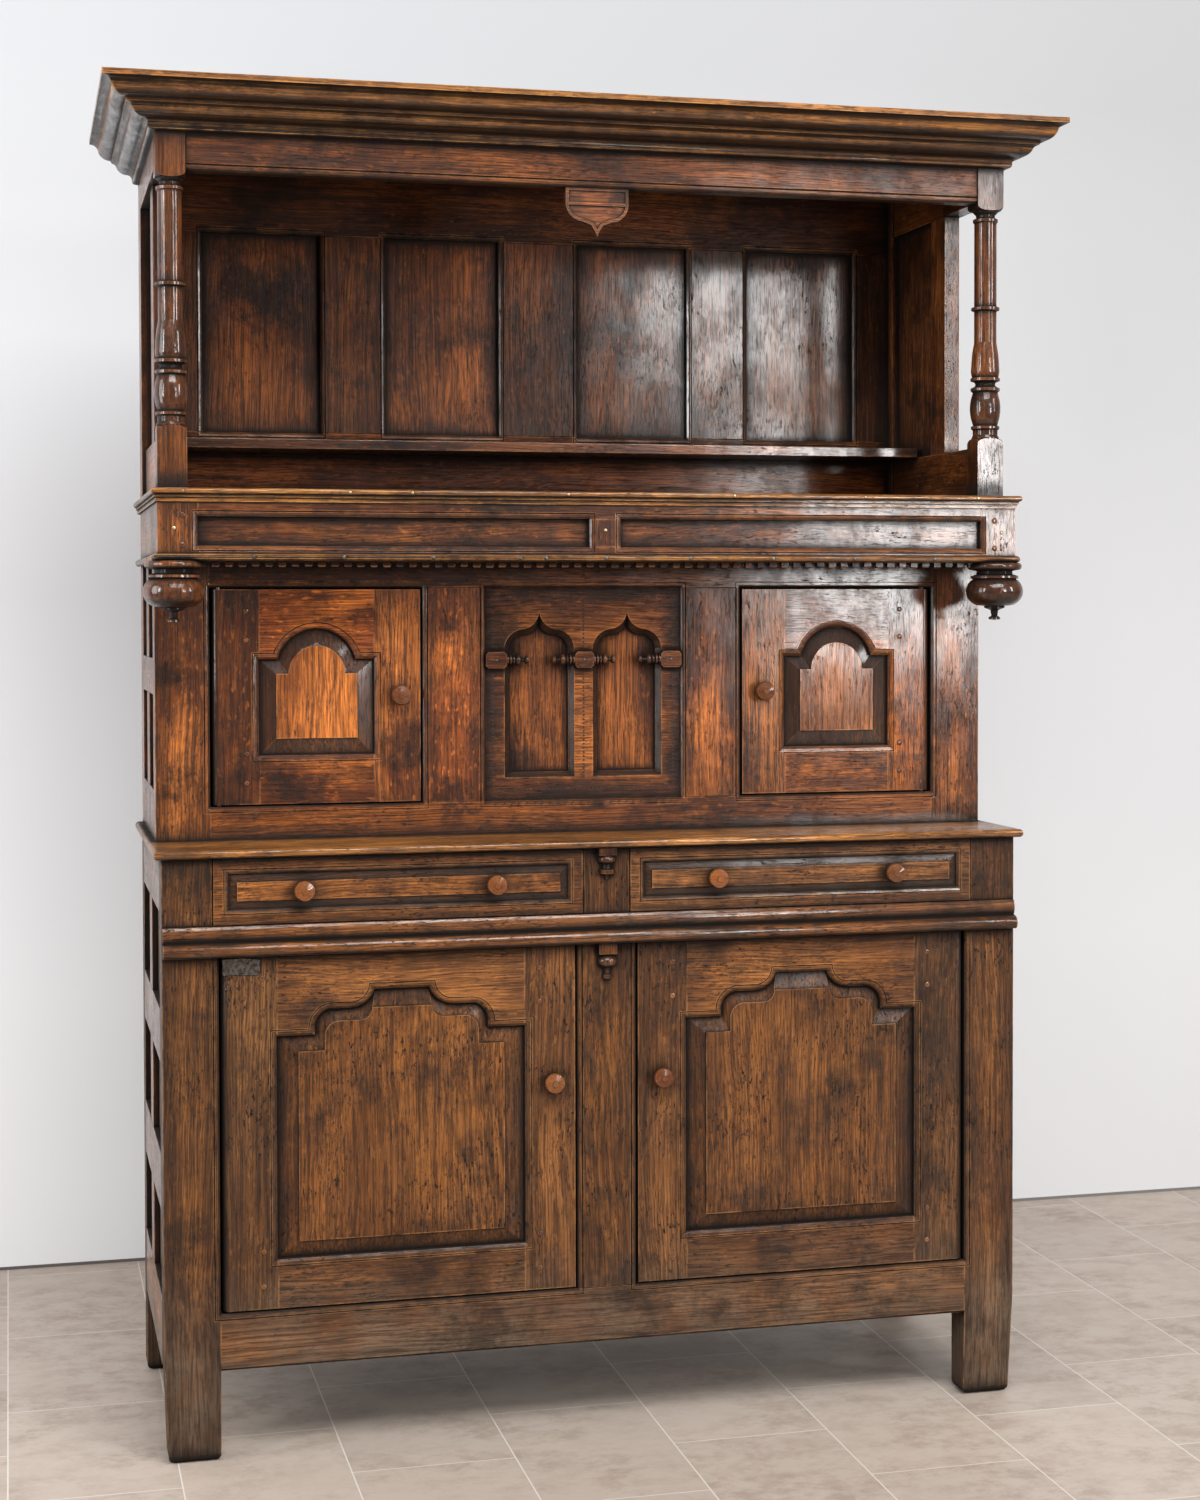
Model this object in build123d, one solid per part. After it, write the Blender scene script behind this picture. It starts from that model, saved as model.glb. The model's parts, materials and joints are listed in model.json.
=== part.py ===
from build123d import *
import math
import os

# Oak court cupboard of three tiers: joined frames with loose panels, four hinged doors and two drawers.
# Sizes are in mm. While building, y runs back from the front of the base and x is 0 in the middle.

os.makedirs("parts", exist_ok=True)

# ---------------------------------------------------------------- driving sizes
width = 1350.0            # over the base posts
depth = 512.0             # front of the base to the back of the cupboard
height = 2048.0

# base tier
post_w = 74.0             # flat face of a base front post
post_d = 55.0
rear_post_w = 60.0
rear_post_d = 50.0
foot_h = 165.0            # height over which a front foot is worn to a taper
foot_taper = 6.0
foot_round = 12.0
bead_w = 9.0              # bead worked round every cupboard opening
bead_ease = 3.5
leg_clear = 136.0         # floor to the underside of the rails
bottom_rail_h = 85.0      # bead included
worn_edge = 4.0           # wear along the underside of the bottom rail
base_door_h = 536.0
waist_rail_h = 43.0
drawer_open_h = 101.0
frame_t = 28.0            # thickness of front rails and muntins
low_muntin_w = 76.0       # flat face between the base doors
high_muntin_w = 73.0      # between the drawers
side_t = 26.0             # thickness of side rails
side_muntin_w = 60.0
side_muntin_back = 14.0   # how far behind the middle of the side the muntins stand
side_rail_heights = (104.0, 86.0, 79.0, 83.0)
side_gap_step = 8.5       # each row of side panels is this much taller than the one below
back_rail_h = 74.0
waist_over = 2.0          # overlap of the waist moulding below its rail
waist_out = 20.0
waist_nose_h = 21.0
waist_band_out = 8.0

table_t = 13.0
table_front = 14.0        # overhang
table_side = 11.0
table_split = 266.0       # front of the table top to the seam between its boards

# middle tier
tier_inset = 1.0          # side of the upper case from the side of the base
mid_front = 143.0         # set-back from the base front
mid_post_d = 47.0
mid_bottom_rail_h = 51.0
mid_open_h = 338.0
mid_top_rail_h = 38.0
mid_muntin_in = 160.0     # half the centre opening
mid_muntin_w = 101.0      # both beads included
mid_side_rail_heights = (77.0, 56.0)
mid_floor_up = 27.0       # floor of the middle tier above the table top
rear_t = 34.0             # upper rear posts, across
rear_w = 60.0             # and front to back

# arcaded centre
arcade_set = 5.0          # set-back from the frame
arcade_t = 13.0
niche_c = 72.0            # middle of a niche
niche_half_w = 56.5
niche_up = 36.5
spring_up = 241.0         # springing of the ogee above the opening
ogee_shoulder_x = 27.0
ogee_shoulder_up = 30.5
ogee_up = 57.0
niche_mould_w = 8.0
niche_mould_d = 9.0
spindle_up = 223.0
spindle_r = 9.6
spindle_len = 36.0
block_half = 15.0
block_up = 13.0           # half height of a block
block_t = 9.0
block_corner = 4.0
side_block_w = 33.5

# canopy
canopy_over = 3.0         # side of the canopy beyond the side of the upper case
frieze_h = 87.0
frieze_post = 50.0
frieze_t = 26.0
frieze_muntin_w = 33.0
frieze_panel_up = 23.0
frieze_panel_down = 22.0
frieze_tenon_len = 22.0
frieze_tenon_t = 7.0
canopy_tenon_out = 8.0    # outer side of the canopy to its tenons
canopy_tenon_low = 30.0
canopy_tenon_high = 12.0
soffit_t = 10.0
deck_t = 20.0
nose = 8.6                # deck nosing overhang
nose_t = 9.4
deck_step = 4.1           # height of each fillet under the nosing
canopy_bead_h = 11.0
canopy_bead_out = 6.0
pendant_r = 38.0
pendant_len = 92.0
dowel_r = 7.0
dowel_len = 26.0
dowel_play = 0.1

# open tier
column = 44.0             # square blocks of the columns
column_front = 42.0
low_block_h = 95.0        # to the top of its rounded end
top_block_h = 122.0
block_shoulder = 16.0
low_rail_h = 82.0
top_rail_h = 112.0
side_top_rail_h = 105.0
side_open = 127.0         # open space between a column and the side frame
side_frame_inset = 6.0
back_set = 38.0           # front of the back frame from the back of the cupboard
back_t = 26.0
back_low_rail_h = 118.0
back_top_rail_h = 135.0
back_mid_muntin = 140.0   # mouldings included
back_muntin = 111.5
back_stile_w = 101.5
back_groove_set = 12.0
shelf_d = 143.0
shelf_t = 15.0
cornice_out = 79.0
cornice_h = 72.0
top_board_t = 16.0
shield_half_w = 50.0
shield_drop = 75.0
shield_t = 14.0
shield_border = 4.5
shield_sunk = 2.0
shield_tenon_h = 18.0

# joints, panels and boards
tenon_len = 30.0
tenon_t = 9.0
tenon_set = 6.0           # shoulder above and below a tenon
muntin_tenon = 18.0
lip = 9.0                 # moulding round the panels of the canopy and the back
lip_d = 6.0
quirk_w = 1.3
quirk_d = 2.0
ovolo_steps = 3           # flats that make up a quarter round
tongue = 6.5              # panel edge held in its groove
groove_play = 0.8
sight_play = 0.6
panel_t = 8.0
board_t = 12.0
floor_t = 14.0
floor_down = 3.0          # floor of the base below the door opening
seam = 0.6                # shrinkage gap between boards

# doors and drawers
door_gap = 3.0
door_t = 22.0
door_back = 1.5           # set-back of a door face from its frame
door_groove = 9.0         # groove from the face
door_tenon_back = 13.0
door_tenon_t = 8.0
pin_r = 4.0
pin_clear = 0.05          # radial clearance of every hinge pin
pin_len = 30.0
hinge_stile = 72.0
lock_stile = 68.0
mid_stile = 62.0
base_door_rail = 63.0
mid_door_rail = 65.0
mould_w = 11.0            # moulding round a door panel
mould_d = 7.0
plate_t = 6.0             # tongue thickness of a door panel
field_down = 1.0          # face of the raised field from the face of the door
field_step = 2.0
knob_r = 15.0
knob_out = 27.0
stem_r = 5.0
stem_len = 14.0
stem_play = 0.1
base_knob_up = 320.0
mid_knob_up = 167.0
drawer_gap = 1.5
drawer_out = 1.0          # drawer face in front of the frame
drawer_side_t = 12.0
drawer_front_t = 22.0
drawer_lap = 10.0
drawer_clear = 62.0       # back of a drawer from the back rail
drawer_down = 11.0        # top of the drawer sides below the top of the front
drawer_bottom_t = 7.0
drawer_rim = 15.0
drawer_well = 23.0
drawer_land = 35.0
drawer_well_d = 5.0
drawer_field_d = 0.5
drawer_knob_in = 137.0
drawer_knob_out = 133.0
run_t = 14.0
run_w = 30.0
guide_h = 30.0

# split drops on the muntins
drop_r = 14.0
high_drop_len = 48.0
high_drop_cap = 11.0
low_drop_len = 55.0
low_drop_cap = 17.0

# ---------------------------------------------------------------- levels and lines
half = width / 2
post_in = half - post_w               # inner face of a base post beside a drawer
open_in = post_in - bead_w            # and beside a door
rail_top = leg_clear + bottom_rail_h
waist_z = rail_top + base_door_h
drawer_z = waist_z + waist_rail_h
table_z = drawer_z + drawer_open_h
table_top = table_z + table_t
mid_open_z = table_top + mid_bottom_rail_h
mid_open_top = mid_open_z + mid_open_h
canopy_z = mid_open_top + mid_top_rail_h
deck_under = canopy_z + frieze_h
deck_z = deck_under + deck_t
frame_top = height - top_board_t
mid_half = half - tier_inset
canopy_half = mid_half + canopy_over
mid_open_in = mid_muntin_in + mid_muntin_w
mid_open_out = mid_half - post_w - bead_w
mid_back_in = mid_half - rear_t
mid_side_in = mid_half - side_t
side_in = half - side_t
back_in = half - rear_post_w
door_in = low_muntin_w / 2 + bead_w
back_front = depth - back_set
back_rail_y = depth - board_t - frame_t
held = tongue + groove_play
y_centre = (depth + column_front - cornice_out) / 2

parts = {}


# ---------------------------------------------------------------- helpers
def slab(x0, x1, y0, y1, z0, z1):
    """A plain board between two corners."""
    return Pos((x0 + x1) / 2, (y0 + y1) / 2, (z0 + z1) / 2) * Box(x1 - x0, y1 - y0, z1 - z0)


def both(*solids):
    """The given pieces and their mirror images about the middle of the cupboard."""
    return list(solids) + [mirror(s, about=Plane.YZ) for s in solids]


def cut(piece, *tools):
    for tool in tools:
        piece = piece - tool
    return piece


def outline(points):
    """A closed face in x and z. A point is (x, z), or (x, z, via x, via z) at the end of an arc."""
    edges = []
    start = points[-1][:2]
    for point in points:
        end = point[:2]
        if len(point) == 4:
            edges.append(ThreePointArc(start, point[2:], end))
        elif math.dist(start, end) > 1e-6:
            edges.append(Line(start, end))
        start = end
    return make_face(edges)


def mirrored(points):
    """A closed symmetric outline from its right half, which is given from the bottom up."""
    left = []
    for point, after in zip(points, [*points[1:], ()]):
        via = (-after[2], after[3]) if len(after) == 4 else ()
        left.append((-point[0], point[1], *via))
    if points[-1][0] == 0:
        left.pop()
    return [*points, *reversed(left)]


def shifted(points, dx):
    """The same outline moved along x."""
    return [(p[0] + dx, p[1]) if len(p) == 2 else (p[0] + dx, p[1], p[2] + dx, p[3]) for p in points]


def rect(x0, x1, z0, z1):
    return outline([(x1, z0), (x1, z1), (x0, z1), (x0, z0)])


def grown(face, amount):
    """An outline made larger all round, with its corners kept sharp."""
    return offset(face, amount, kind=Kind.INTERSECTION) if abs(amount) > 1e-6 else face


def at_y(face, y):
    return Plane((0, y, 0), x_dir=(1, 0, 0), z_dir=(0, -1, 0)) * face


def prism(face, y0, y1):
    """An outline given in x and z, cut through from y0 back to y1."""
    return extrude(at_y(face, y1), y1 - y0)


def splay(small, large, y_small, y_large):
    """The sloping solid between two matching outlines."""
    return loft([at_y(large, y_large), at_y(small, y_small)], ruled=True)


def scaled(points, x_size, z_size, z=0.0):
    """An outline given as shares of its two sizes, made full size and set up at height z."""
    return [tuple(z + v * z_size if i % 2 else v * x_size for i, v in enumerate(p)) for p in points]


def turned(profile, r, length, point, direction):
    """A turning. Its profile is given as shares of a radius and of its length, lines or arcs."""
    face = outline(scaled(profile, r, length))
    return Plane(point, z_dir=direction) * revolve(Plane.XZ * face, Axis.Z)


def ovolo_cut(sight, y, w, d):
    """The cuts that leave a quirk and a quarter round, which falls from a face at y to a sight."""
    quirk = prism(grown(sight, w), y - 1, y + quirk_d)
    quirk -= prism(grown(sight, w - quirk_w), y - 2, y + quirk_d + 1)
    cuts = [quirk]
    turns = [math.pi / 2 * i / ovolo_steps for i in range(ovolo_steps + 1)]
    flats = [((w - quirk_w) * (1 - math.sin(a)), d * (1 - math.cos(a))) for a in turns]
    for (w0, d0), (w1, d1) in zip(flats, flats[1:]):
        cuts.append(splay(grown(sight, w1), grown(sight, w0), y + d1, y + d0))
    return cuts


def panel_opening(sight, y, t, w, d, groove_y, thick):
    """The cuts for a panel: its moulding, the opening, and the groove that holds its edges."""
    through = prism(grown(sight, sight_play), y - 1, y + t + 1)
    groove = prism(grown(sight, held), groove_y, groove_y + thick)
    return [*ovolo_cut(sight, y, w, d), through, groove]


def beaded(x0, x1, z0, z1, y, t):
    """The cuts for an opening whose edge carries a bead set off by a quirk."""
    sight = rect(x0, x1, z0, z1)
    quirk = prism(grown(sight, bead_w), y - 1, y + quirk_d)
    quirk -= prism(grown(sight, bead_w - quirk_w), y - 2, y + quirk_d + 1)
    return [quirk, splay(sight, grown(sight, bead_ease), y + bead_ease, y), prism(sight, y - 1, y + t)]


def boards(x0, x1, y0, y1, z0, z1, count, along):
    """A surface made of boards, with the seam between them; along is the axis they lie side by side on."""
    out = []
    low, high = (x0, x1) if along == "x" else (y0, y1)
    pitch = (high - low) / count
    for i in range(count):
        a = low + i * pitch + (seam / 2 if i else 0)
        b = low + (i + 1) * pitch - (seam / 2 if i < count - 1 else 0)
        out.append(slab(a, b, y0, y1, z0, z1) if along == "x" else slab(x0, x1, a, b, z0, z1))
    return out


def stacked(z, heights, gaps):
    """The levels of rails that stand one above the other from z, with gaps between them."""
    levels = []
    for h, gap in zip(heights, gaps):
        levels.append((z, z + h))
        z += h + gap
    return levels


def front_tenons(x, z0, z1, y):
    """The end tenons of a front rail whose shoulders are at -x and x."""
    y0 = y + (frame_t - tenon_t) / 2
    return both(slab(x, x + tenon_len, y0, y0 + tenon_t, z0 + tenon_set, z1 - tenon_set))


def front_rail_solid(x, z0, z1, y):
    """A front rail between two posts, with its tenons."""
    rail = slab(-x, x, y, y + frame_t, z0, z1)
    for tenon in front_tenons(x, z0, z1, y):
        rail += tenon
    return rail


def muntin_tenons(x0, x1, z0, z1, y):
    """The stub tenons under and over a front muntin."""
    y0 = y + (frame_t - tenon_t) / 2
    a, b = x0 + 2 * tenon_set, x1 - 2 * tenon_set
    ends = ((z0 - muntin_tenon, z0), (z1, z1 + muntin_tenon))
    return [slab(a, b, y0, y0 + tenon_t, low, high) for low, high in ends]


def side_frame(x_out, y0, y1, y_mid, levels, bays):
    """Rails, short muntins and panels of the right side, and the cuts that the posts need for them."""
    x_in = x_out - side_t
    panel_x = x_in + (side_t - panel_t) / 2
    tenon_x = x_in + (side_t - tenon_t) / 2
    half_w = side_muntin_w / 2
    rails, muntins, panels, tenons, grooves = [], [], [], [], []
    for z0, z1 in bays:
        muntins.append(slab(x_in, x_out, y_mid - half_w, y_mid + half_w, z0, z1))
        for a, b in ((y0, y_mid - half_w), (y_mid + half_w, y1)):
            grooves.append(slab(panel_x, panel_x + panel_t, a - held, b + held, z0 - held, z1 + held))
            panels.append(slab(panel_x, panel_x + panel_t, a - tongue, b + tongue, z0 - tongue, z1 + tongue))
    for z0, z1 in levels:
        rail = slab(x_in, x_out, y0, y1, z0, z1)
        for a, b in ((y0 - tenon_len, y0), (y1, y1 + tenon_len)):
            tenon = slab(tenon_x, tenon_x + tenon_t, a, b, z0 + held + 1, z1 - held - 1)
            tenons.append(tenon)
            rail += tenon
        rails.append(cut(rail, *grooves))
    return rails, [cut(m, *grooves) for m in muntins], panels, tenons, grooves


def pin_hole(x, y, z):
    return Pos(x, y, z) * Cylinder(pin_r + pin_clear, pin_len + 2)


def mitred(face, y_front, x_side, out, back):
    """A moulding of section face (outward, z) taken round the front and both sides with mitred corners."""
    run = 2 * (x_side + out)
    front_plane = Plane((-run / 2, y_front, 0), x_dir=(0, -1, 0), z_dir=(-1, 0, 0))
    y_out = y_front - out
    x_out = x_side + out
    corners = ((-x_out, y_out), (x_out, y_out), (x_side, y_front), (-x_side, y_front))
    front = extrude(front_plane * face, -run) & extrude(make_face(Polyline(*corners, close=True)), 2 * height)
    side_plane = Plane((x_side, back, 0), x_dir=(1, 0, 0), z_dir=(0, -1, 0))
    corners = ((x_side, y_front), (x_out, y_out), (x_out, back), (x_side, back))
    side = extrude(side_plane * face, back - y_out)
    side &= extrude(make_face(Polyline(*corners, close=True)), 2 * height)
    return [front] + both(side)


# ---------------------------------------------------------------- hinge pins
hinge_x = open_in - door_gap - door_t / 2
hinge_y = door_back + door_t / 2
mid_hinge_x = mid_open_out - door_gap - door_t / 2
mid_hinge_y = mid_front + hinge_y
pins = []
pin_holes = []
for x, y, z in (
    (hinge_x, hinge_y, rail_top + door_gap / 2),
    (hinge_x, hinge_y, waist_z - door_gap / 2),
    (mid_hinge_x, mid_hinge_y, mid_open_z + door_gap / 2),
    (mid_hinge_x, mid_hinge_y, mid_open_top - door_gap / 2),
):
    pins += both(Pos(x, y, z) * Cylinder(pin_r, pin_len))
    pin_holes += both(pin_hole(x, y, z))
parts["hinge_pins"] = pins

# ---------------------------------------------------------------- base tier
door_cuts = both(*beaded(door_in, open_in, rail_top, waist_z, 0, post_d + 1))
below_waist = slab(-half, half, -2, post_d + 2, 0, waist_z)
door_cuts = [c & below_waist for c in door_cuts]
drawer_cuts = both(slab(high_muntin_w / 2, post_in, -1, post_d + 1, drawer_z, table_z + 1))

foot_top = Pos((open_in + half) / 2, post_d / 2, foot_h) * Rectangle(half - open_in, post_d)
foot_end = Pos((open_in + half - foot_taper) / 2, (post_d + foot_taper) / 2, 0)
foot_end *= Rectangle(half - open_in - foot_taper, post_d - foot_taper)
front_post = slab(open_in, half, 0, post_d, foot_h, table_z) + loft([foot_end, foot_top], ruled=True)
front_post = fillet(front_post.edges().group_by(Axis.Z)[0], foot_round)
rear_post = slab(back_in, half, depth - rear_post_d, depth, 0, table_z)
rear_post = fillet(rear_post.edges().group_by(Axis.Z)[0], foot_round)

bottom_rail = slab(-open_in, open_in, 0, frame_t, leg_clear, rail_top)
underside = bottom_rail.edges().filter_by(Axis.X).group_by(Axis.Z)[0]
bottom_rail = chamfer(underside.sort_by(Axis.Y)[0], worn_edge)
bottom_tenons = front_tenons(open_in, leg_clear, rail_top, 0)
bottom_rail += bottom_tenons[0]
bottom_rail += bottom_tenons[1]
waist_rail = front_rail_solid(open_in, waist_z, drawer_z, 0)
waist_tenons = front_tenons(open_in, waist_z, drawer_z, 0)
front_post = cut(front_post, *door_cuts, *drawer_cuts, bottom_tenons[0], waist_tenons[0])

low_tenons = muntin_tenons(-low_muntin_w / 2, low_muntin_w / 2, rail_top, waist_z, 0)
low_muntin = cut(slab(-door_in, door_in, 0, frame_t, rail_top, waist_z), *door_cuts)
low_muntin = low_muntin + low_tenons[0] + low_tenons[1]
high_tenon = muntin_tenons(-high_muntin_w / 2, high_muntin_w / 2, drawer_z, table_z, 0)[0]
high_muntin = slab(-high_muntin_w / 2, high_muntin_w / 2, 0, frame_t, drawer_z, table_z) + high_tenon
parts["base_front_rails"] = [
    cut(bottom_rail, *door_cuts, low_tenons[0], *pin_holes),
    cut(waist_rail, low_tenons[1], high_tenon, *pin_holes),
]
parts["base_front_muntins"] = [low_muntin, high_muntin]

# side frames of the base: four rails, three short muntins and six panels a side
side_y0 = post_d
side_y1 = depth - rear_post_d
side_mid = (side_y0 + side_y1) / 2 + side_muntin_back
rows = len(side_rail_heights) - 1
mean_gap = (table_z - leg_clear - sum(side_rail_heights)) / rows
side_gaps = [mean_gap + (i - (rows - 1) / 2) * side_gap_step for i in range(rows)]
levels = stacked(leg_clear, side_rail_heights, [*side_gaps, 0.0])
bays = [(low[1], high[0]) for low, high in zip(levels, levels[1:])]
side = side_frame(half, side_y0, side_y1, side_mid, levels, bays)
base_side_rails, side_muntins, panels, tenons, grooves = side
parts["base_side_panels"] = both(*panels)
front_post = cut(front_post, *tenons, *grooves)
rear_post = cut(rear_post, *tenons, *grooves)

back_rail_y1 = back_rail_y + frame_t
low_back_rail = slab(-back_in, back_in, back_rail_y, back_rail_y1, leg_clear, leg_clear + back_rail_h)
parts["base_rails"] = both(*base_side_rails) + [low_back_rail, Pos(0, 0, waist_z - leg_clear) * low_back_rail]
back_edge = back_in + tongue
parts["base_back_boards"] = boards(-back_edge, back_edge, depth - board_t, depth, leg_clear, table_z, 5, "x")
back_seat = slab(-back_edge, back_edge, depth - board_t, depth + 1, leg_clear, table_z + 1)
parts["base_posts"] = both(front_post, cut(rear_post, back_seat))

post_space = both(
    slab(open_in, half, 0, post_d, 0, table_z), slab(back_in, half, depth - rear_post_d, depth, 0, table_z)
)
floor_z = rail_top - floor_down
floor = boards(-side_in, side_in, frame_t, back_rail_y, floor_z - floor_t, floor_z, 3, "y")
base_floor = [cut(b, *post_space) for b in floor]

# runners under the drawers and guides beside them
side_run = cut(slab(post_in - run_w, side_in, frame_t, back_rail_y, drawer_z - run_t, drawer_z), *post_space)
side_guide = slab(post_in, side_in, post_d, side_y1, drawer_z, drawer_z + guide_h)
mid_run_w = high_muntin_w / 2 + run_w
mid_guide_w = high_muntin_w / 2 - 1
parts["drawer_runners"] = both(side_run, side_guide) + [
    slab(-mid_run_w, mid_run_w, frame_t, back_rail_y, drawer_z - run_t, drawer_z),
    slab(-mid_guide_w, mid_guide_w, frame_t, back_rail_y, drawer_z, drawer_z + guide_h),
]

# waist moulding: a nosing and a rounded band over it, nailed across the front
w0 = waist_z - waist_over
w1 = w0 + waist_nose_h
nose_arc = ((-0.7 * waist_out, w0), (-waist_out, w0 + 0.42 * waist_nose_h), (-0.62 * waist_out, w1 - 1))
band_mid = (-waist_band_out, (w1 + drawer_z) / 2)
band_arc = ((-0.6 * waist_band_out, w1), band_mid, (-0.5 * waist_band_out, drawer_z))
waist_face = make_face(
    [
        Line((0, w0), nose_arc[0]),
        ThreePointArc(*nose_arc),
        Line(nose_arc[2], band_arc[0]),
        ThreePointArc(*band_arc),
        Line(band_arc[2], (0, drawer_z)),
        Line((0, drawer_z), (0, w0)),
    ]
)
waist_plane = Plane((-mid_half, 0, 0), x_dir=(0, 1, 0), z_dir=(1, 0, 0))
parts["waist_moulding"] = extrude(waist_plane * waist_face, 2 * mid_half)

# half-round drops on the two muntins: a square cap over a ball, a neck and a ring
high_drop = [
    (0, 0), (0.2, 0), (0.3, 0.2), (0.85, 0.24), (0.85, 0.4), (0.5, 0.44), (0.45, 0.6), (0.6, 0.66),
    (0.6, 1, 1.05, 0.82), (0, 1),
]
low_drop = [
    (0, 0), (0.5, 0), (0.5, 0.16), (0.35, 0.2), (0.4, 0.42), (0.6, 0.46), (0.6, 0.94, 1.1, 0.7), (0.8, 1),
    (0, 1),
]


def split_drop(profile, top, length, cap):
    whole = turned(profile, drop_r, length - cap, (0, 0, top - length), (0, 0, 1))
    front_half = whole & slab(-2 * drop_r, 2 * drop_r, -2 * drop_r, 0, top - length - 1, top)
    return front_half + slab(-drop_r, drop_r, -0.8 * drop_r, 0, top - cap, top)


parts["split_drops"] = [
    split_drop(high_drop, table_z, high_drop_len, high_drop_cap),
    split_drop(low_drop, w0, low_drop_len, low_drop_cap),
]

# table top: two boards with a rounded front and ends
table = slab(-half - table_side, half + table_side, -table_front, depth, table_z, table_top)
round_edges = [e for e in table.edges() if e.length > 3 * table_t and e.center().Y < depth - 1]
table = fillet(round_edges, 0.44 * table_t)
seam_y = table_split - table_front
parts["table_top_boards"] = [
    table & slab(-width, width, -2 * table_front, seam_y - seam / 2, table_z - 1, table_top + 1),
    table & slab(-width, width, seam_y + seam / 2, depth + 1, table_z - 1, table_top + 1),
]

# ---------------------------------------------------------------- middle tier
mid_cuts = both(*beaded(mid_open_in, mid_open_out, mid_open_z, mid_open_top, mid_front, mid_post_d + 1))
mid_cuts += beaded(-mid_muntin_in, mid_muntin_in, mid_open_z, mid_open_top, mid_front, mid_post_d + 1)

mid_post = slab(mid_open_out, mid_half, mid_front, mid_front + mid_post_d, table_top, canopy_z)
mid_tenons = front_tenons(mid_open_out, table_top, mid_open_z, mid_front)
mid_tenons += front_tenons(mid_open_out, mid_open_top, canopy_z, mid_front)
mid_post = cut(mid_post, *mid_cuts, *mid_tenons)
mid_bottom = front_rail_solid(mid_open_out, table_top, mid_open_z, mid_front)
mid_top = front_rail_solid(mid_open_out, mid_open_top, canopy_z, mid_front)
stubs = muntin_tenons(mid_muntin_in + bead_w, mid_open_in - bead_w, mid_open_z, mid_open_top, mid_front)
mid_muntin = slab(mid_muntin_in, mid_open_in, mid_front, mid_front + frame_t, mid_open_z, mid_open_top)
mid_muntin = cut(mid_muntin, *mid_cuts) + stubs[0] + stubs[1]
parts["mid_front_rails"] = [
    cut(mid_bottom, *mid_cuts, *both(stubs[0]), *pin_holes),
    cut(mid_top, *mid_cuts, *both(stubs[1]), *pin_holes),
]
parts["mid_front_muntins"] = both(mid_muntin)

# arcaded centre: a pierced board over a plain panel, with split turnings across it
arcade_y = mid_front + arcade_set
niche_z = mid_open_z + niche_up
spring_z = mid_open_z + spring_up


def niche_outline(inset):
    """A square-footed niche with an ogee head, made smaller by an inset."""
    w = niche_half_w - inset
    x = ogee_shoulder_x - 0.3 * inset
    shoulder_up = ogee_shoulder_up - inset
    tip_up = ogee_up - 2 * inset
    return outline(mirrored([
        (w, niche_z + inset),
        (w, spring_z),
        (x, spring_z + shoulder_up, 0.85 * w, spring_z + 0.66 * shoulder_up),
        (0, spring_z + tip_up, 0.35 * x, spring_z + 0.68 * tip_up),
    ]))


arcade = prism(rect(-mid_muntin_in, mid_muntin_in, mid_open_z, mid_open_top), arcade_y, arcade_y + arcade_t)
niche_out = niche_outline(0)
niche_in = niche_outline(niche_mould_w)
niche_cuts = [
    prism(niche_out, arcade_y - 1, arcade_y + 1),
    splay(niche_in, niche_out, arcade_y + niche_mould_d, arcade_y + 1),
    prism(niche_in, arcade_y - 1, arcade_y + arcade_t + 1),
]
for sx in (-1, 1):
    arcade = cut(arcade, *[Pos(sx * niche_c, 0, 0) * c for c in niche_cuts])
parts["arcade_board"] = arcade
arcade_back = arcade_y + arcade_t
parts["arcade_back_panel"] = slab(
    -mid_muntin_in, mid_muntin_in, arcade_back, arcade_back + panel_t, mid_open_z, mid_open_top
)

spindle_z = mid_open_z + spindle_up
spindle_profile = [
    (0, 0), (0.95, 0), (0.95, 0.08), (0.7, 0.11), (0.7, 0.14), (0.88, 0.16), (0.88, 0.23), (0.6, 0.26),
    (0.6, 0.3), (0.75, 0.32), (0.75, 0.38), (0.5, 0.42), (0.5, 0.66, 1.02, 0.54), (0.38, 0.7), (0.36, 0.84),
    (0.6, 0.86), (0.6, 1, 0.72, 0.93), (0, 1),
]


def octagon(x0, x1):
    c = block_corner
    z0, z1 = spindle_z - block_up, spindle_z + block_up
    right = [(x1 - c, z0), (x1, z0 + c), (x1, z1 - c), (x1 - c, z1)]
    left = [(x0 + c, z1), (x0, z1 - c), (x0, z0 + c), (x0 + c, z0)]
    return outline(right + left)


def split_spindle(x, sign):
    """A half turning lying along x, springing from x towards sign."""
    whole = turned(spindle_profile, spindle_r, spindle_len, (x, arcade_y, spindle_z), (sign, 0, 0))
    r = 2 * spindle_r
    lo = min(x, x + sign * spindle_len)
    return whole & slab(lo, lo + spindle_len, arcade_y - r, arcade_y, spindle_z - r, spindle_z + r)


side_block_in = mid_muntin_in - side_block_w
side_block = prism(octagon(side_block_in, mid_muntin_in), arcade_y - block_t, arcade_y)
middle_block = prism(octagon(-block_half, block_half), arcade_y - block_t, arcade_y)
spindles = both(split_spindle(block_half, 1), split_spindle(side_block_in, -1))
parts["arcade_split_turnings"] = [middle_block, *both(side_block), *spindles]

# side frames of the middle tier
m_y0 = mid_front + mid_post_d
m_y1 = depth - rear_w
mid_gap = (canopy_z - table_top - sum(mid_side_rail_heights)) / len(mid_side_rail_heights)
levels = stacked(table_top, mid_side_rail_heights, [mid_gap] * len(mid_side_rail_heights))
bays = [(z1, z1 + mid_gap) for z0, z1 in levels]
side = side_frame(mid_half, m_y0, m_y1, (m_y0 + m_y1) / 2, levels, bays)
rails, muntins, panels, m_tenons, m_grooves = side
parts["mid_side_rails"] = both(*rails)
side_muntins += muntins
parts["mid_side_panels"] = both(*panels)
mid_post = cut(mid_post, *m_tenons, *m_grooves)

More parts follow.
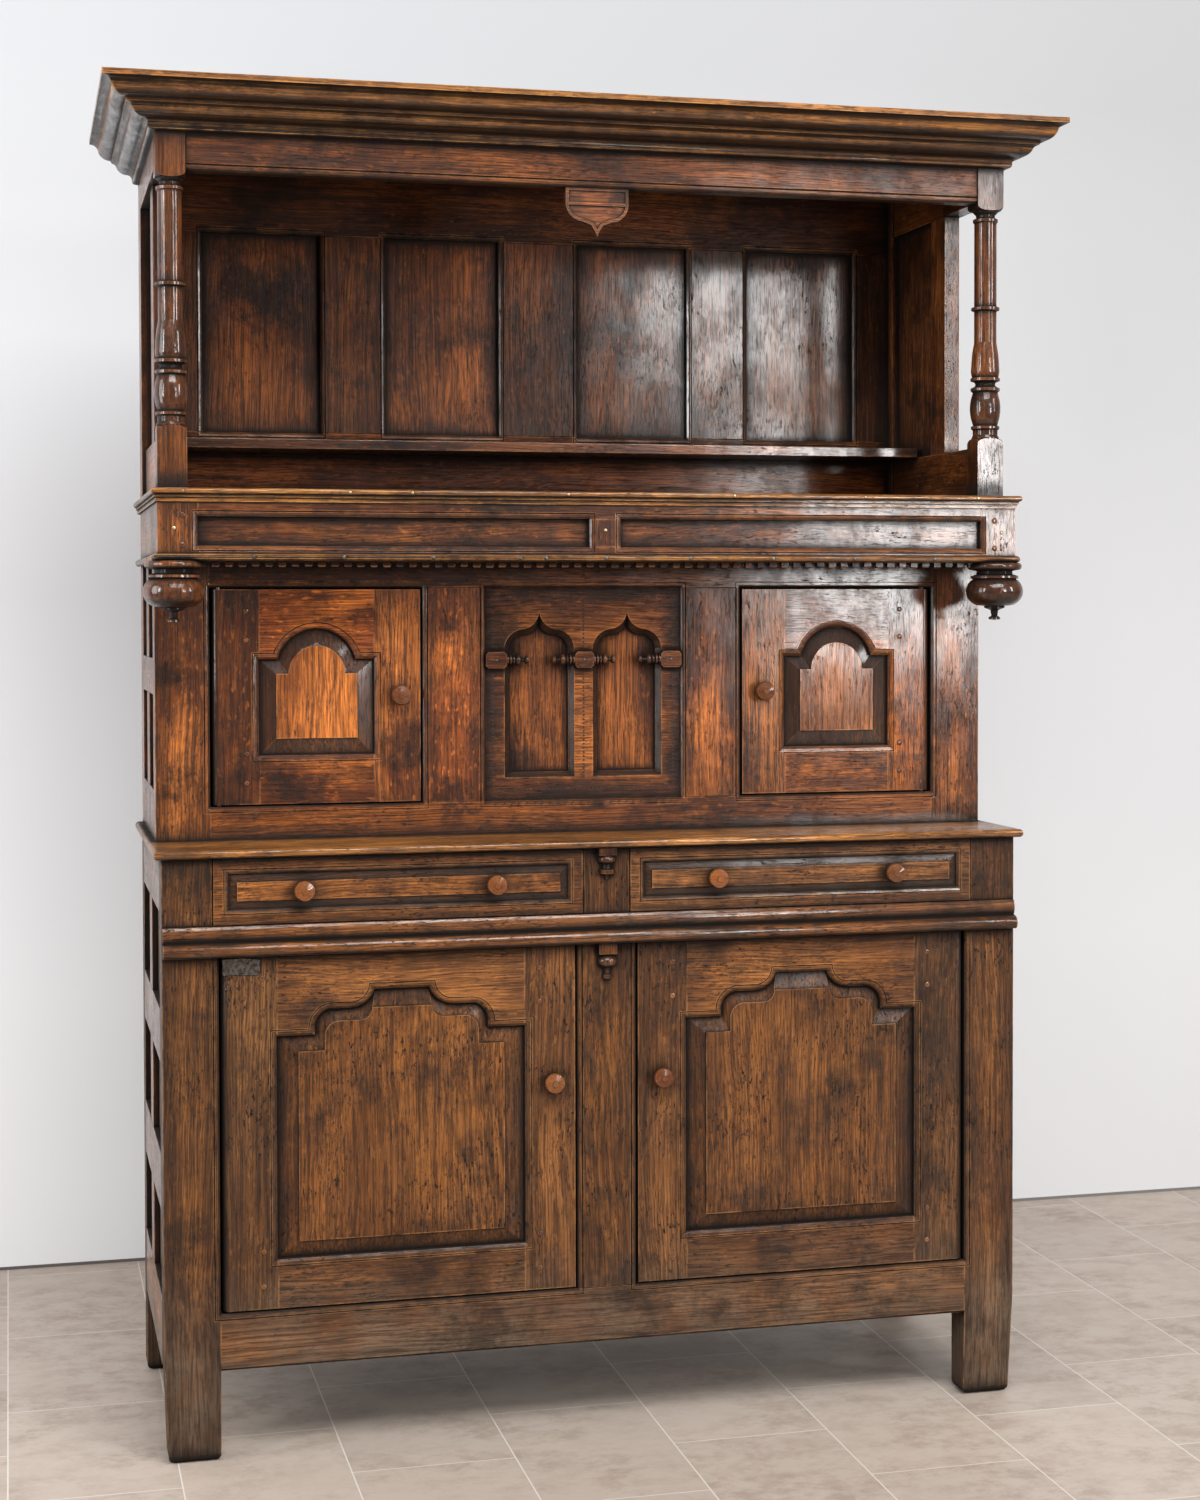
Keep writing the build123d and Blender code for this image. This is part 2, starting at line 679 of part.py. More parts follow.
mid_floor_z = table_top + mid_floor_up
mid_post_space = both(slab(mid_open_out, mid_half, mid_front, m_y0, table_top, canopy_z))
rear_space = both(slab(mid_back_in, mid_half, depth - rear_w, depth, table_top, frame_top))
floor = boards(
    -mid_side_in, mid_side_in, mid_front + frame_t, back_front, mid_floor_z, mid_floor_z + floor_t, 2, "y"
)
parts["floor_boards"] = base_floor + [cut(b, *mid_post_space, *rear_space) for b in floor]
parts["mid_back_boards"] = boards(
    -mid_back_in, mid_back_in, back_front, back_front + board_t, table_top, deck_under, 5, "x"
)

# ---------------------------------------------------------------- canopy
panel_hi = deck_under - frieze_panel_down
panel_lo = canopy_z + frieze_panel_up
f_in = frieze_muntin_w / 2 + lip
f_out = canopy_half - frieze_post - lip
frieze_sight = rect(f_in, f_out, panel_lo, panel_hi)
frieze_groove_y = (frieze_t - panel_t) / 2 + 3
frieze_cuts = both(*panel_opening(frieze_sight, 0, frieze_t, lip, lip_d, frieze_groove_y, panel_t))
frieze_panel = prism(grown(frieze_sight, tongue), frieze_groove_y, frieze_groove_y + panel_t)
parts["frieze_panels"] = both(frieze_panel)

frieze_corner = slab(f_out, canopy_half, 0, frieze_post, canopy_z, deck_under)
tenon_y1 = frieze_t - 1
frieze_rails = []
for z0, z1, t0, t1 in (
    (panel_hi, deck_under, panel_hi + held + 1, deck_under - 1),
    (canopy_z, panel_lo, canopy_z + 1, panel_lo - held - 1),
):
    ends = both(slab(f_out, f_out + frieze_tenon_len, tenon_y1 - frieze_tenon_t, tenon_y1, t0, t1))
    frieze_rails.append(cut(slab(-f_out, f_out, 0, frieze_t, z0, z1), *frieze_cuts) + ends[0] + ends[1])
    frieze_corner -= ends[0]
parts["frieze_rails"] = frieze_rails
pendant_x = canopy_half - frieze_post / 2
pendant_y = frieze_post / 2
dowel_at = Pos(pendant_x, pendant_y, canopy_z + dowel_len / 2)
dowel = dowel_at * Cylinder(dowel_r, dowel_len)
dowel_hole = dowel_at * Cylinder(dowel_r + dowel_play, dowel_len + 1)
frieze_corner = cut(frieze_corner, *frieze_cuts, dowel_hole)

side_rail_in = canopy_half - side_t
canopy_side = slab(side_rail_in, canopy_half, frieze_post, m_y1, canopy_z, deck_under)
canopy_tenons = [
    slab(
        canopy_half - canopy_tenon_out - tenon_t, canopy_half - canopy_tenon_out, a, b,
        canopy_z + canopy_tenon_low, deck_under - canopy_tenon_high,
    )
    for a, b in ((frieze_post - frieze_tenon_len, frieze_post), (m_y1, m_y1 + tenon_len))
]
parts["canopy_side_rails"] = both(cut(canopy_side, *m_grooves) + canopy_tenons[0] + canopy_tenons[1])
frieze_muntin = cut(slab(-f_in, f_in, 0, frieze_t, panel_lo, panel_hi), *frieze_cuts)
parts["frieze_posts"] = both(frieze_corner - canopy_tenons[0]) + [frieze_muntin]

soffit = slab(-side_rail_in, side_rail_in, frieze_t, m_y0, canopy_z, canopy_z + soffit_t)
parts["canopy_soffit"] = cut(soffit, *both(slab(f_out, canopy_half, 0, frieze_post, canopy_z, deck_under)))

# deck: three boards whose front and ends are worked with a nosing and two fillets
nose_z = deck_z - nose_t
deck = slab(-canopy_half - nose, canopy_half + nose, -nose, depth, nose_z, deck_z)
nose_edges = [e for e in deck.edges() if e.length > 3 * nose_t and e.center().Y < depth - 1]
deck = fillet(nose_edges, 0.45 * nose_t)
for out, z0, z1 in ((nose * 0.52, nose_z - deck_step, nose_z), (nose * 0.29, deck_under, nose_z - deck_step)):
    deck += slab(-canopy_half - out, canopy_half + out, -out, depth, z0, z1)
deck = cut(deck, *rear_space)
deck_boards = []
for i in range(3):
    a = -2 * nose if i == 0 else depth * i / 3 + seam / 2
    b = depth + 1 if i == 2 else depth * (i + 1) / 3 - seam / 2
    deck_boards.append(deck & slab(-width, width, a, b, deck_under - 1, deck_z + 1))
parts["canopy_deck_boards"] = deck_boards

bead_points = [(0, 0), (0.25, 0), (0.25, 1, 1, 0.5), (0, 1)]
bead_face = outline(scaled(bead_points, canopy_bead_out, canopy_bead_h, canopy_z))
parts["canopy_bead"] = mitred(bead_face, 0, canopy_half, canopy_bead_out, depth)

# turned drops hanging from the frieze posts: a tip, a ring, a flattened ball and two discs
pendant_profile = [
    (0, 0), (0.24, 0.016), (0.24, 0.055), (0.13, 0.076), (0.16, 0.175), (0.43, 0.217), (0.43, 0.245),
    (0.79, 0.266), (0.9, 0.293), (0.9, 0.717, 1.2, 0.5), (1, 0.734), (1, 0.772), (0.76, 0.804), (0.75, 0.859),
    (1, 0.88), (1, 1, 1.145, 0.94), (0, 1),
]
pendant_tip = (pendant_x, pendant_y, canopy_z - pendant_len)
pendant = turned(pendant_profile, pendant_r, pendant_len, pendant_tip, (0, 0, 1))
parts["drop_pendants"] = both(pendant + dowel)

# ---------------------------------------------------------------- open tier
col_x = mid_half - column / 2
col_y = column_front + column / 2
low_top = deck_z + low_block_h
high_z = frame_top - top_block_h
shaft_profile = [
    (0, -0.006), (1, -0.006), (1, 0.005), (0.91, 0.016), (0.91, 0.038), (1.045, 0.044), (1.045, 0.054),
    (0.886, 0.06), (0.91, 0.204, 1.118, 0.136), (1.073, 0.212), (1.073, 0.223), (0.864, 0.229),
    (0.864, 0.251, 0.727, 0.24), (1.082, 0.256), (1.082, 0.267), (0.955, 0.272), (1.027, 0.316, 1.045, 0.294),
    (0.818, 0.425, 0.955, 0.376), (0.818, 0.561), (1.036, 0.567), (1.036, 0.578), (0.818, 0.583),
    (0.818, 0.948), (0.918, 0.954), (0.918, 0.965), (0.682, 0.973), (0.705, 0.984), (0.909, 0.997),
    (0.909, 1.006), (0, 1.006),
]
shaft = turned(shaft_profile, column / 2, high_z - low_top, (col_x, col_y, low_top), (0, 0, 1))


def column_block(z0, z1, inner):
    """A square block of a column with rounded shoulders at its inner end."""
    block = Pos(col_x, col_y, (z0 + z1) / 2) * Box(column, column, z1 - z0)
    reach = column / math.sqrt(2) + 1
    rise = block_shoulder if inner > z0 else -block_shoulder
    outer = z0 if inner > z0 else z1
    profile = [
        (0, outer), (reach, outer), (reach, inner - rise),
        (column / 2 - 1, inner, reach - 2, inner - rise / 3), (0, inner),
    ]
    return block & turned(profile, 1, 1, (col_x, col_y, 0), (0, 0, 1))


col = shaft + column_block(deck_z, low_top, low_top) + column_block(high_z, frame_top, high_z)

rail_in = mid_half - column
front_rail_y = column_front + 2
top_rail_z = frame_top - top_rail_h
bead_line = top_rail_z + bead_w
front_rail = slab(-rail_in, rail_in, front_rail_y, front_rail_y + side_t, top_rail_z, frame_top)
quirk_y = front_rail_y + quirk_d
front_rail -= slab(-rail_in, rail_in, front_rail_y - 1, quirk_y, bead_line, bead_line + quirk_w)
rail_bottom = front_rail.edges().filter_by(Axis.X).group_by(Axis.Z)[0]
front_rail = chamfer(rail_bottom.sort_by(Axis.Y)[0], bead_ease)
tenon_y = front_rail_y + tenon_t
tenon_z = bead_line + bead_w
top_tenon = slab(rail_in, rail_in + tenon_len, tenon_y, tenon_y + tenon_t, tenon_z, frame_top - bead_w)
for t in both(top_tenon):
    front_rail += t

u_out = mid_half - side_frame_inset
u_in = u_out - side_t
u_y0 = column_front + column
muntin_y = u_y0 + side_open
side_low_z = deck_z + low_rail_h
side_top_z = frame_top - side_top_rail_h
u_panel_x = u_in + (side_t - panel_t) / 2
u_panel_y = muntin_y + side_muntin_w
u_groove, u_panel = (
    slab(u_panel_x, u_panel_x + panel_t, u_panel_y - edge, m_y1 + edge, side_low_z - edge, side_top_z + edge)
    for edge in (held, tongue)
)
u_rails = []
u_tenons = []
for x_out, z0, z1 in ((u_out, deck_z, side_low_z), (mid_half, side_top_z, frame_top)):
    rail = slab(u_in, x_out, u_y0, m_y1, z0, z1)
    tenon_x = u_in + tenon_t
    for a, b in ((u_y0 - tenon_len / 2, u_y0), (m_y1, m_y1 + tenon_len)):
        tenon = slab(tenon_x, tenon_x + tenon_t, a, b, z0 + 2 * tenon_set, z1 - 2 * tenon_set)
        u_tenons.append(tenon)
        rail += tenon
    u_rails.append(cut(rail, u_groove))
rear_upper = slab(mid_back_in, mid_half, m_y1, depth, table_top, frame_top)
rear_upper = cut(rear_upper, canopy_tenons[1], *u_tenons, u_groove, *m_tenons, *m_grooves)
parts["upper_case_posts"] = both(mid_post, rear_upper)
parts["turned_columns"] = both(cut(col, top_tenon, *u_tenons))
parts["upper_side_rails"] = both(*u_rails)
side_muntins.append(cut(slab(u_in, u_out, muntin_y, u_panel_y, side_low_z, side_top_z), u_groove))
parts["side_muntins"] = both(*side_muntins)
parts["upper_side_panels"] = both(u_panel)

# shield hanging from the middle of the front rail, with a raised border and a band across
tip_z = top_rail_z - shield_drop
shield_right = [
    (0, tip_z),
    (0.2 * shield_half_w, tip_z + 0.24 * shield_drop, 0.08 * shield_half_w, tip_z + 0.12 * shield_drop),
    (0.48 * shield_half_w, tip_z + 0.31 * shield_drop),
    (shield_half_w, top_rail_z - 0.33 * shield_drop, 0.87 * shield_half_w, top_rail_z - 0.56 * shield_drop),
    (shield_half_w, top_rail_z),
]
shield_face = outline(mirrored(shield_right))
shield_y = front_rail_y + 5
band_z = top_rail_z - 0.36 * shield_drop
neck_w = 0.4 * shield_half_w
shield_tenon = slab(-neck_w, neck_w, shield_y + 4, shield_y + 10, top_rail_z, top_rail_z + shield_tenon_h)
band_top = band_z + shield_border
shield_band = slab(-shield_half_w, shield_half_w, shield_y, shield_y + shield_sunk, band_z, band_top)
shield = prism(shield_face, shield_y, shield_y + shield_t)
shield -= prism(offset(shield_face, -shield_border), shield_y - 1, shield_y + shield_sunk)
shield += shield_band & prism(shield_face, shield_y, shield_y + shield_t)
parts["pendant_shield"] = shield + shield_tenon
parts["front_top_rail"] = front_rail - shield_tenon

# framed back of the open tier: four tall panels
back_z0 = deck_z + back_low_rail_h
back_z1 = frame_top - back_top_rail_h
b_in = back_mid_muntin / 2
b_out = mid_half - back_stile_w
span = (b_out - b_in - back_muntin) / 2
back_bays = [(b_in, b_in + span), (b_in + span + back_muntin, b_out)]
back_groove_y = back_front + back_groove_set
back_cuts = []
back_panels = []
for x0, x1 in back_bays:
    sight = rect(x0, x1, back_z0, back_z1)
    back_cuts += both(*panel_opening(sight, back_front, back_t, lip, lip_d, back_groove_y, panel_t))
    back_panels += both(prism(grown(sight, tongue), back_groove_y, back_groove_y + panel_t))
parts["upper_back_panels"] = back_panels
back_y1 = back_front + back_t
parts["upper_back_rails"] = [
    cut(slab(-mid_back_in, mid_back_in, back_front, back_y1, deck_z, back_z0), *back_cuts),
    cut(slab(-mid_back_in, mid_back_in, back_front, back_y1, back_z1, frame_top), *back_cuts),
]
muntins = both(
    slab(back_bays[0][1], back_bays[1][0], back_front, back_y1, back_z0, back_z1),
    slab(b_out, mid_back_in, back_front, back_y1, back_z0, back_z1),
)
muntins.append(slab(-b_in, b_in, back_front, back_y1, back_z0, back_z1))
parts["upper_back_muntins"] = [cut(m, *back_cuts) for m in muntins]
parts["upper_shelf"] = slab(
    -mid_back_in, mid_back_in, back_front - shelf_d, back_front, side_low_z, side_low_z + shelf_t
)

# cornice, in two stages with a bead below, mitred at the corners; points are shares of its reach and height
cornice_points = [
    (0, 0), (0.076, 0.014), (0.129, 0.097, 0.124, 0.05), (0.222, 0.222, 0.154, 0.181),
    (0.437, 0.361, 0.373, 0.278), (0.547, 0.472, 0.471, 0.431), (0.57, 0.535), (0.829, 0.764, 0.747, 0.604),
    (1, 0.885, 0.88, 0.847), (1, 1), (0, 1),
]
cornice_face = outline(scaled(cornice_points, cornice_out, cornice_h, height - cornice_h))
parts["cornice"] = mitred(cornice_face, column_front, mid_half, cornice_out, depth)
parts["top_boards"] = boards(-mid_half, mid_half, column_front, depth, frame_top, height, 3, "y")

# ---------------------------------------------------------------- doors
knob_profile = [
    (0, 0), (0.6, 0), (0.6, 0.08), (0.42, 0.16), (0.5, 0.33), (0.93, 0.52), (0.93, 0.86, 1.03, 0.68),
    (0.3, 0.97), (0.3, 1), (0, 1),
]


def knob(x, y, z):
    """A turned knob on a face at y, with its stem let into the wood behind."""
    head = turned(knob_profile, knob_r, knob_out, (x, y, z), (0, -1, 0))
    return head + Pos(x, y + stem_len / 2, z) * Rot(90, 0, 0) * Cylinder(stem_r, stem_len)


def knob_hole(x, y, z):
    return Pos(x, y + (stem_len + 1) / 2, z) * Rot(90, 0, 0) * Cylinder(stem_r + stem_play, stem_len + 1)


def door(x0, x1, z0, z1, y, stile_h, stile_l, bottom_h, top_z, sight, field, knob_up):
    """A framed door built for the right of the cupboard: its frame, panel and knob."""
    y1 = y + door_t
    x_lock = x0 + stile_l + mould_w
    x_hinge = x1 - stile_h - mould_w
    pivot_x = x1 - door_t / 2
    pivot_y = y + door_t / 2
    groove_y = y + door_groove
    tenon_y = y1 - door_tenon_back
    cuts = panel_opening(sight, y, door_t, mould_w, mould_d, groove_y, plate_t)
    corner = slab(pivot_x, x1 + 1, y - 1, y1 + 1, z0 - 1, z1 + 1)
    corner -= Pos(pivot_x, pivot_y, (z0 + z1) / 2) * Cylinder(door_t / 2, z1 - z0 + 4)
    holes = [pin_hole(pivot_x, pivot_y, z) for z in (z0 - door_gap / 2, z1 + door_gap / 2)]
    lock = slab(x0, x_lock, y, y1, z0, z1)
    hinge = cut(slab(x_hinge, x1, y, y1, z0, z1), corner, *holes)
    low = slab(x_lock, x_hinge, y, y1, z0, z0 + bottom_h + mould_w)
    high = slab(x_lock, x_hinge, y, y1, top_z - mould_w, z1)
    rails = []
    for rail, za, zb in ((low, z0, z0 + bottom_h - held), (high, z1 - tenon_len - tenon_set, z1)):
        for a, b in ((x_lock - tenon_len, x_lock), (x_hinge, x_hinge + tenon_len)):
            tenon = slab(a, b, tenon_y, tenon_y + door_tenon_t, za + tenon_set, zb - tenon_set)
            rail += tenon
            lock -= tenon
            hinge -= tenon
        rails.append(cut(rail, *cuts))
    knob_x = x0 + stile_l * 0.53
    lock = cut(lock, knob_hole(knob_x, y, z0 + knob_up), *cuts)
    panel = prism(grown(sight, tongue), groove_y, groove_y + plate_t)
    face_y = y + field_down
    panel += splay(field, sight, face_y + field_step, groove_y)
    panel += prism(field, face_y, face_y + field_step)
    return [lock, cut(hinge, *cuts), *rails], panel, knob(knob_x, y, z0 + knob_up)


def right_and_left(made, name, labels):
    """Name the pieces of a right-hand door or drawer and of its mirror image on the left."""
    for label, pieces in zip(labels, made):
        pieces = pieces if isinstance(pieces, list) else [pieces]
        parts[f"{name}_right_{label}"] = pieces
        parts[f"{name}_left_{label}"] = [mirror(p, about=Plane.YZ) for p in pieces]


def quarter(centre_x, centre_z, r, start, end):
    """The end point and the middle point of an arc, with its angles in degrees from +x."""
    at = (math.radians(end), math.radians((start + end) / 2))
    (x, z), via = ((centre_x + r * math.cos(a), centre_z + r * math.sin(a)) for a in at)
    return (x, z, *via)


# lower doors: the head of the panel steps up through a round and then a hollow
dx0, dx1 = door_in + door_gap, open_in - door_gap
dz0, dz1 = rail_top + door_gap, waist_z - door_gap
low_c = (dx0 + lock_stile + dx1 - hinge_stile) / 2
low_half = (dx1 - hinge_stile - dx0 - lock_stile) / 2 - mould_w
low_z = dz0 + base_door_rail + mould_w
head_z = dz1 - 58.0
shoulder_z = head_z - 65.0
riser_x = low_half - 57.5
round_r = 26.0
round_up = 12.0           # straight part of the riser under the round
hollow_r = 38.0
flat_w = 27.5             # between the round and the hollow
step_z = shoulder_z + round_up + round_r
hollow_x = riser_x - round_r - flat_w
hollow_turn = math.degrees(math.acos((hollow_r - (head_z - step_z)) / hollow_r))
low_sight = outline(shifted(mirrored([
    (low_half, low_z),
    (low_half, shoulder_z),
    (riser_x, shoulder_z),
    (riser_x, shoulder_z + round_up),
    quarter(riser_x - round_r, shoulder_z + round_up, round_r, 0, 90),
    (hollow_x, step_z),
    quarter(hollow_x, step_z + hollow_r, hollow_r, -90, -90 - hollow_turn),
]), low_c))

bevel_side = 31.5
bevel_low = 24.5
bevel_head = 26.0
bevel_shoulder = 23.0
field_half = low_half - bevel_side
field_riser = riser_x - 13.5
field_round = 22.0
field_flat = 32.0
field_hollow = 18.0
field_head = head_z - bevel_head
field_step_z = field_head - field_hollow
field_hollow_x = field_riser - field_round - field_flat
low_field = outline(shifted(mirrored([
    (field_half, low_z + bevel_low),
    (field_half, shoulder_z - bevel_shoulder),
    (field_riser, shoulder_z - bevel_shoulder),
    (field_riser, field_step_z - field_round),
    quarter(field_riser - field_round, field_step_z - field_round, field_round, 0, 90),
    (field_hollow_x, field_step_z),
    quarter(field_hollow_x, field_head, field_hollow, -90, -180),
]), low_c))
low_door = door(
    dx0, dx1, dz0, dz1, door_back, hinge_stile, lock_stile, base_door_rail, shoulder_z,
    low_sight, low_field, base_knob_up,
)
right_and_left(low_door, "lower_door", ("frame", "panel", "knob"))

# upper doors: a round-headed panel between square shoulders
ux0, ux1 = mid_open_in + door_gap, mid_open_out - door_gap
uz0, uz1 = mid_open_z + door_gap, mid_open_top - door_gap
up_c = (ux0 + ux1) / 2
up_half = (ux1 - ux0) / 2 - mid_stile - mould_w
up_z = uz0 + mid_door_rail + mould_w
crown_z = uz1 - 62.0
up_shoulder = crown_z - 47.0
arch_half = 59.5
up_sight = outline(shifted([
    (up_half, up_z), (up_half, up_shoulder), (arch_half, up_shoulder), (-arch_half, up_shoulder, 0, crown_z),
    (-up_half, up_shoulder), (-up_half, up_z),
], up_c))
up_bevel = 25.0
up_field_half = up_half - up_bevel - 1.0
up_field_shoulder = up_shoulder - up_bevel + 3.5
field_arch = 44.0
up_field = outline(shifted([
    (up_field_half, up_z + up_bevel), (up_field_half, up_field_shoulder), (field_arch, up_field_shoulder),
    (-field_arch, up_field_shoulder, 0, crown_z - up_bevel), (-up_field_half, up_field_shoulder),
    (-up_field_half, up_z + up_bevel),
], up_c))
up_door = door(
    ux0, ux1, uz0, uz1, mid_front + door_back, mid_stile, mid_stile, mid_door_rail, up_shoulder,
    up_sight, up_field, mid_knob_up,
)
right_and_left(up_door, "upper_door", ("frame", "panel", "knob"))

# ---------------------------------------------------------------- drawers
rx0, rx1 = high_muntin_w / 2 + drawer_gap, post_in - drawer_gap
rz0, rz1 = drawer_z + drawer_gap, table_z - drawer_gap
ry = -drawer_out
ry1 = ry + drawer_front_t
well_y = ry + drawer_well_d
field_y = ry + drawer_field_d


def inset(amount):
    """The outline of the drawer front made smaller all round."""
    return rect(rx0 + amount, rx1 - amount, rz0 + amount, rz1 - amount)


front = prism(inset(0), ry, ry1)
front = cut(front, *ovolo_cut(inset(drawer_well), ry, drawer_well - drawer_rim, drawer_well_d))
front -= prism(inset(drawer_well), ry - 1, well_y)
front += splay(inset(drawer_land), inset(drawer_well + 0.5), field_y + field_step, well_y)
front += prism(inset(drawer_land), field_y, field_y + field_step)
knob_z = (rz0 + rz1) / 2
knob_xs = (rx0 + drawer_knob_in, rx1 - drawer_knob_out)
drawer_back = back_rail_y - drawer_clear
box_top = rz1 - drawer_down
in0, in1 = rx0 + 1 + drawer_side_t, rx1 - 1 - drawer_side_t
bottom_z = drawer_z + tenon_set
bottom = slab(in0 - tenon_set, in1 + tenon_set, ry1, drawer_back, bottom_z, bottom_z + drawer_bottom_t)
sides = [
    slab(a, a + drawer_side_t, ry1 - drawer_lap, drawer_back, drawer_z, box_top) for a in (rx0 + 1, in1)
]
front = cut(front, *sides, *[knob_hole(x, field_y, knob_z) for x in knob_xs])
back = slab(in0, in1, drawer_back - drawer_side_t, drawer_back, bottom_z + drawer_bottom_t, box_top)
knobs = [knob(x, field_y, knob_z) for x in knob_xs]
box = [sides[0] - bottom, sides[1] - bottom, back, bottom]
right_and_left([front, box, knobs], "drawer", ("front", "box", "knobs"))

# ---------------------------------------------------------------- export
total = 0
for name, made in parts.items():
    solids = []
    for piece in made if isinstance(made, list) else [made]:
        solids += list(piece.solids())
    placed = [s.moved(Location((0, -y_centre, 0))) for s in solids]
    export_step(placed[0] if len(placed) == 1 else Compound(children=placed), f"parts/{name}.step")
    total += len(placed)
print(len(parts), "nodes,", total, "solids")
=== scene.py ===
"""The court cupboard in the studio: waxed oak with its grain, worn edges, old soiling and painted shade,
pegs, nails and punched work.
"""

import json
import math
import random

import bpy
from mathutils import Matrix, Vector

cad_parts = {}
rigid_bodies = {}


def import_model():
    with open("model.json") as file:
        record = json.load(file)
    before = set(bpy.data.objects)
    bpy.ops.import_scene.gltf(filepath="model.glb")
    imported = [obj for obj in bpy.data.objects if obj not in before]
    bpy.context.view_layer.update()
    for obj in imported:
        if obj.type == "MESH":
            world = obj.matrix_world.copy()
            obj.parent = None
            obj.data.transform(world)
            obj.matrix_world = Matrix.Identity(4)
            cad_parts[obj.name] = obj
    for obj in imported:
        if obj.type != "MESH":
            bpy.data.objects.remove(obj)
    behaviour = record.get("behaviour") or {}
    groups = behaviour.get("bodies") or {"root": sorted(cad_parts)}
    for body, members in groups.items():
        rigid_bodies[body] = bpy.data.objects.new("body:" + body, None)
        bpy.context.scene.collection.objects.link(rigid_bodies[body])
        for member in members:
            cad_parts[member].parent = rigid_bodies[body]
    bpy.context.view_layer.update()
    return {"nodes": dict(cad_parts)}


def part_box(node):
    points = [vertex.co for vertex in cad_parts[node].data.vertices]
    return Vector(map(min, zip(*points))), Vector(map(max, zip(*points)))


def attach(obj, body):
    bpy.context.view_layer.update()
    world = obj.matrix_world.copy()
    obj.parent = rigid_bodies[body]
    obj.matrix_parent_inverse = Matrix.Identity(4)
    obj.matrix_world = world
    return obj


for spare in list(bpy.data.objects):
    bpy.data.objects.remove(spare)

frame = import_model()
nodes = frame["nodes"]

FRONT_Y = -0.2375          # the front of the base


# ---------------------------------------------------------------- shader trees
class Graph:
    """Short words for building a tree of shader nodes."""

    def __init__(self, tree):
        self.tree = tree

    def add(self, kind, **settings):
        node = self.tree.nodes.new(kind)
        for name, value in settings.items():
            setattr(node, name, value)
        return node

    def feed(self, socket, value):
        """Joins a socket to another, or sets it to a plain value."""
        if isinstance(value, bpy.types.NodeSocket):
            self.tree.links.new(value, socket)
        else:
            socket.default_value = value

    def math(self, operation, *values, clamp=False):
        node = self.add("ShaderNodeMath", operation=operation, use_clamp=clamp)
        for socket, value in zip(node.inputs, values):
            self.feed(socket, value)
        return node.outputs[0]

    def vector(self, operation, *values):
        node = self.add("ShaderNodeVectorMath", operation=operation)
        sockets = list(node.inputs)
        if operation == "SCALE":
            sockets = [node.inputs[0], node.inputs["Scale"]]
        for socket, value in zip(sockets, values):
            self.feed(socket, value)
        return node.outputs["Value"] if operation in ("DOT_PRODUCT", "LENGTH") else node.outputs["Vector"]

    def noise(self, point, scale, detail=3.0, rough=0.55, out="Fac"):
        node = self.add("ShaderNodeTexNoise")
        self.feed(node.inputs["Vector"], point)
        node.inputs["Scale"].default_value = scale
        node.inputs["Detail"].default_value = detail
        node.inputs["Roughness"].default_value = rough
        return node.outputs[out]

    def remap(self, value, low, high, to_low=0.0, to_high=1.0):
        node = self.add("ShaderNodeMapRange", clamp=True)
        for socket, number in zip(node.inputs, (value, low, high, to_low, to_high)):
            self.feed(socket, number)
        return node.outputs["Result"]

    def mix(self, factor, first, second, blend="MIX"):
        node = self.add("ShaderNodeMix", data_type="RGBA", blend_type=blend)
        self.feed(node.inputs[0], factor)
        self.feed(node.inputs[6], first)
        self.feed(node.inputs[7], second)
        return node.outputs[2]

    def split(self, point):
        node = self.add("ShaderNodeSeparateXYZ")
        self.feed(node.inputs[0], point)
        return node.outputs

    def centred(self, value, reach):
        """Spreads a value from 0 to 1 evenly to both sides of nothing."""
        return self.math("MULTIPLY_ADD", value, reach, -reach / 2)

    def spot(self):
        """The point that is being shaded, in the axes of its own object."""
        return self.add("ShaderNodeTexCoord").outputs["Object"]

    def relief(self, shader, height, distance):
        """Gives a shader fine relief, whose height times the distance is in metres."""
        bump = self.add("ShaderNodeBump")
        bump.inputs["Strength"].default_value = 1.0
        bump.inputs["Distance"].default_value = distance
        self.feed(bump.inputs["Height"], height)
        self.feed(shader.inputs["Normal"], bump.outputs[0])

    def place(self, name, tree, **inputs):
        """Places a shader group and feeds its named inputs."""
        node = self.add("ShaderNodeGroup", node_tree=tree)
        for label, value in inputs.items():
            self.feed(node.inputs[label], value)
        node.label = name
        return node.outputs


NUMBER = "NodeSocketFloat"
ARROW = "NodeSocketVector"
COLOUR = "NodeSocketColor"
SOOT_AND_SHADE = (0.0065, 0.0045, 0.0036, 1.0)
RING_TURNS = 1500.0        # radians of growth rings in a metre across the grain
CAST_SHARES = (0.35, 0.10, -0.45)          # what an amber cast adds to red, green and blue
PALE_WOOD = ((0.190, 0.130, 0.085, 1.0), (0.075, 0.047, 0.030, 1.0))     # between its streaks and in them
TILE_CORNER = (0.081, -0.3275)             # a corner of one tile


def group(name, inputs, outputs):
    """An empty shader group with its sockets; returns its graph, what comes in and where results go."""
    tree = bpy.data.node_groups.new(name, "ShaderNodeTree")
    for label, kind in inputs:
        tree.interface.new_socket(label, in_out="INPUT", socket_type=kind)
    for label, kind in outputs:
        tree.interface.new_socket(label, in_out="OUTPUT", socket_type=kind)
    graph = Graph(tree)
    return graph, graph.add("NodeGroupInput").outputs, graph.add("NodeGroupOutput").inputs


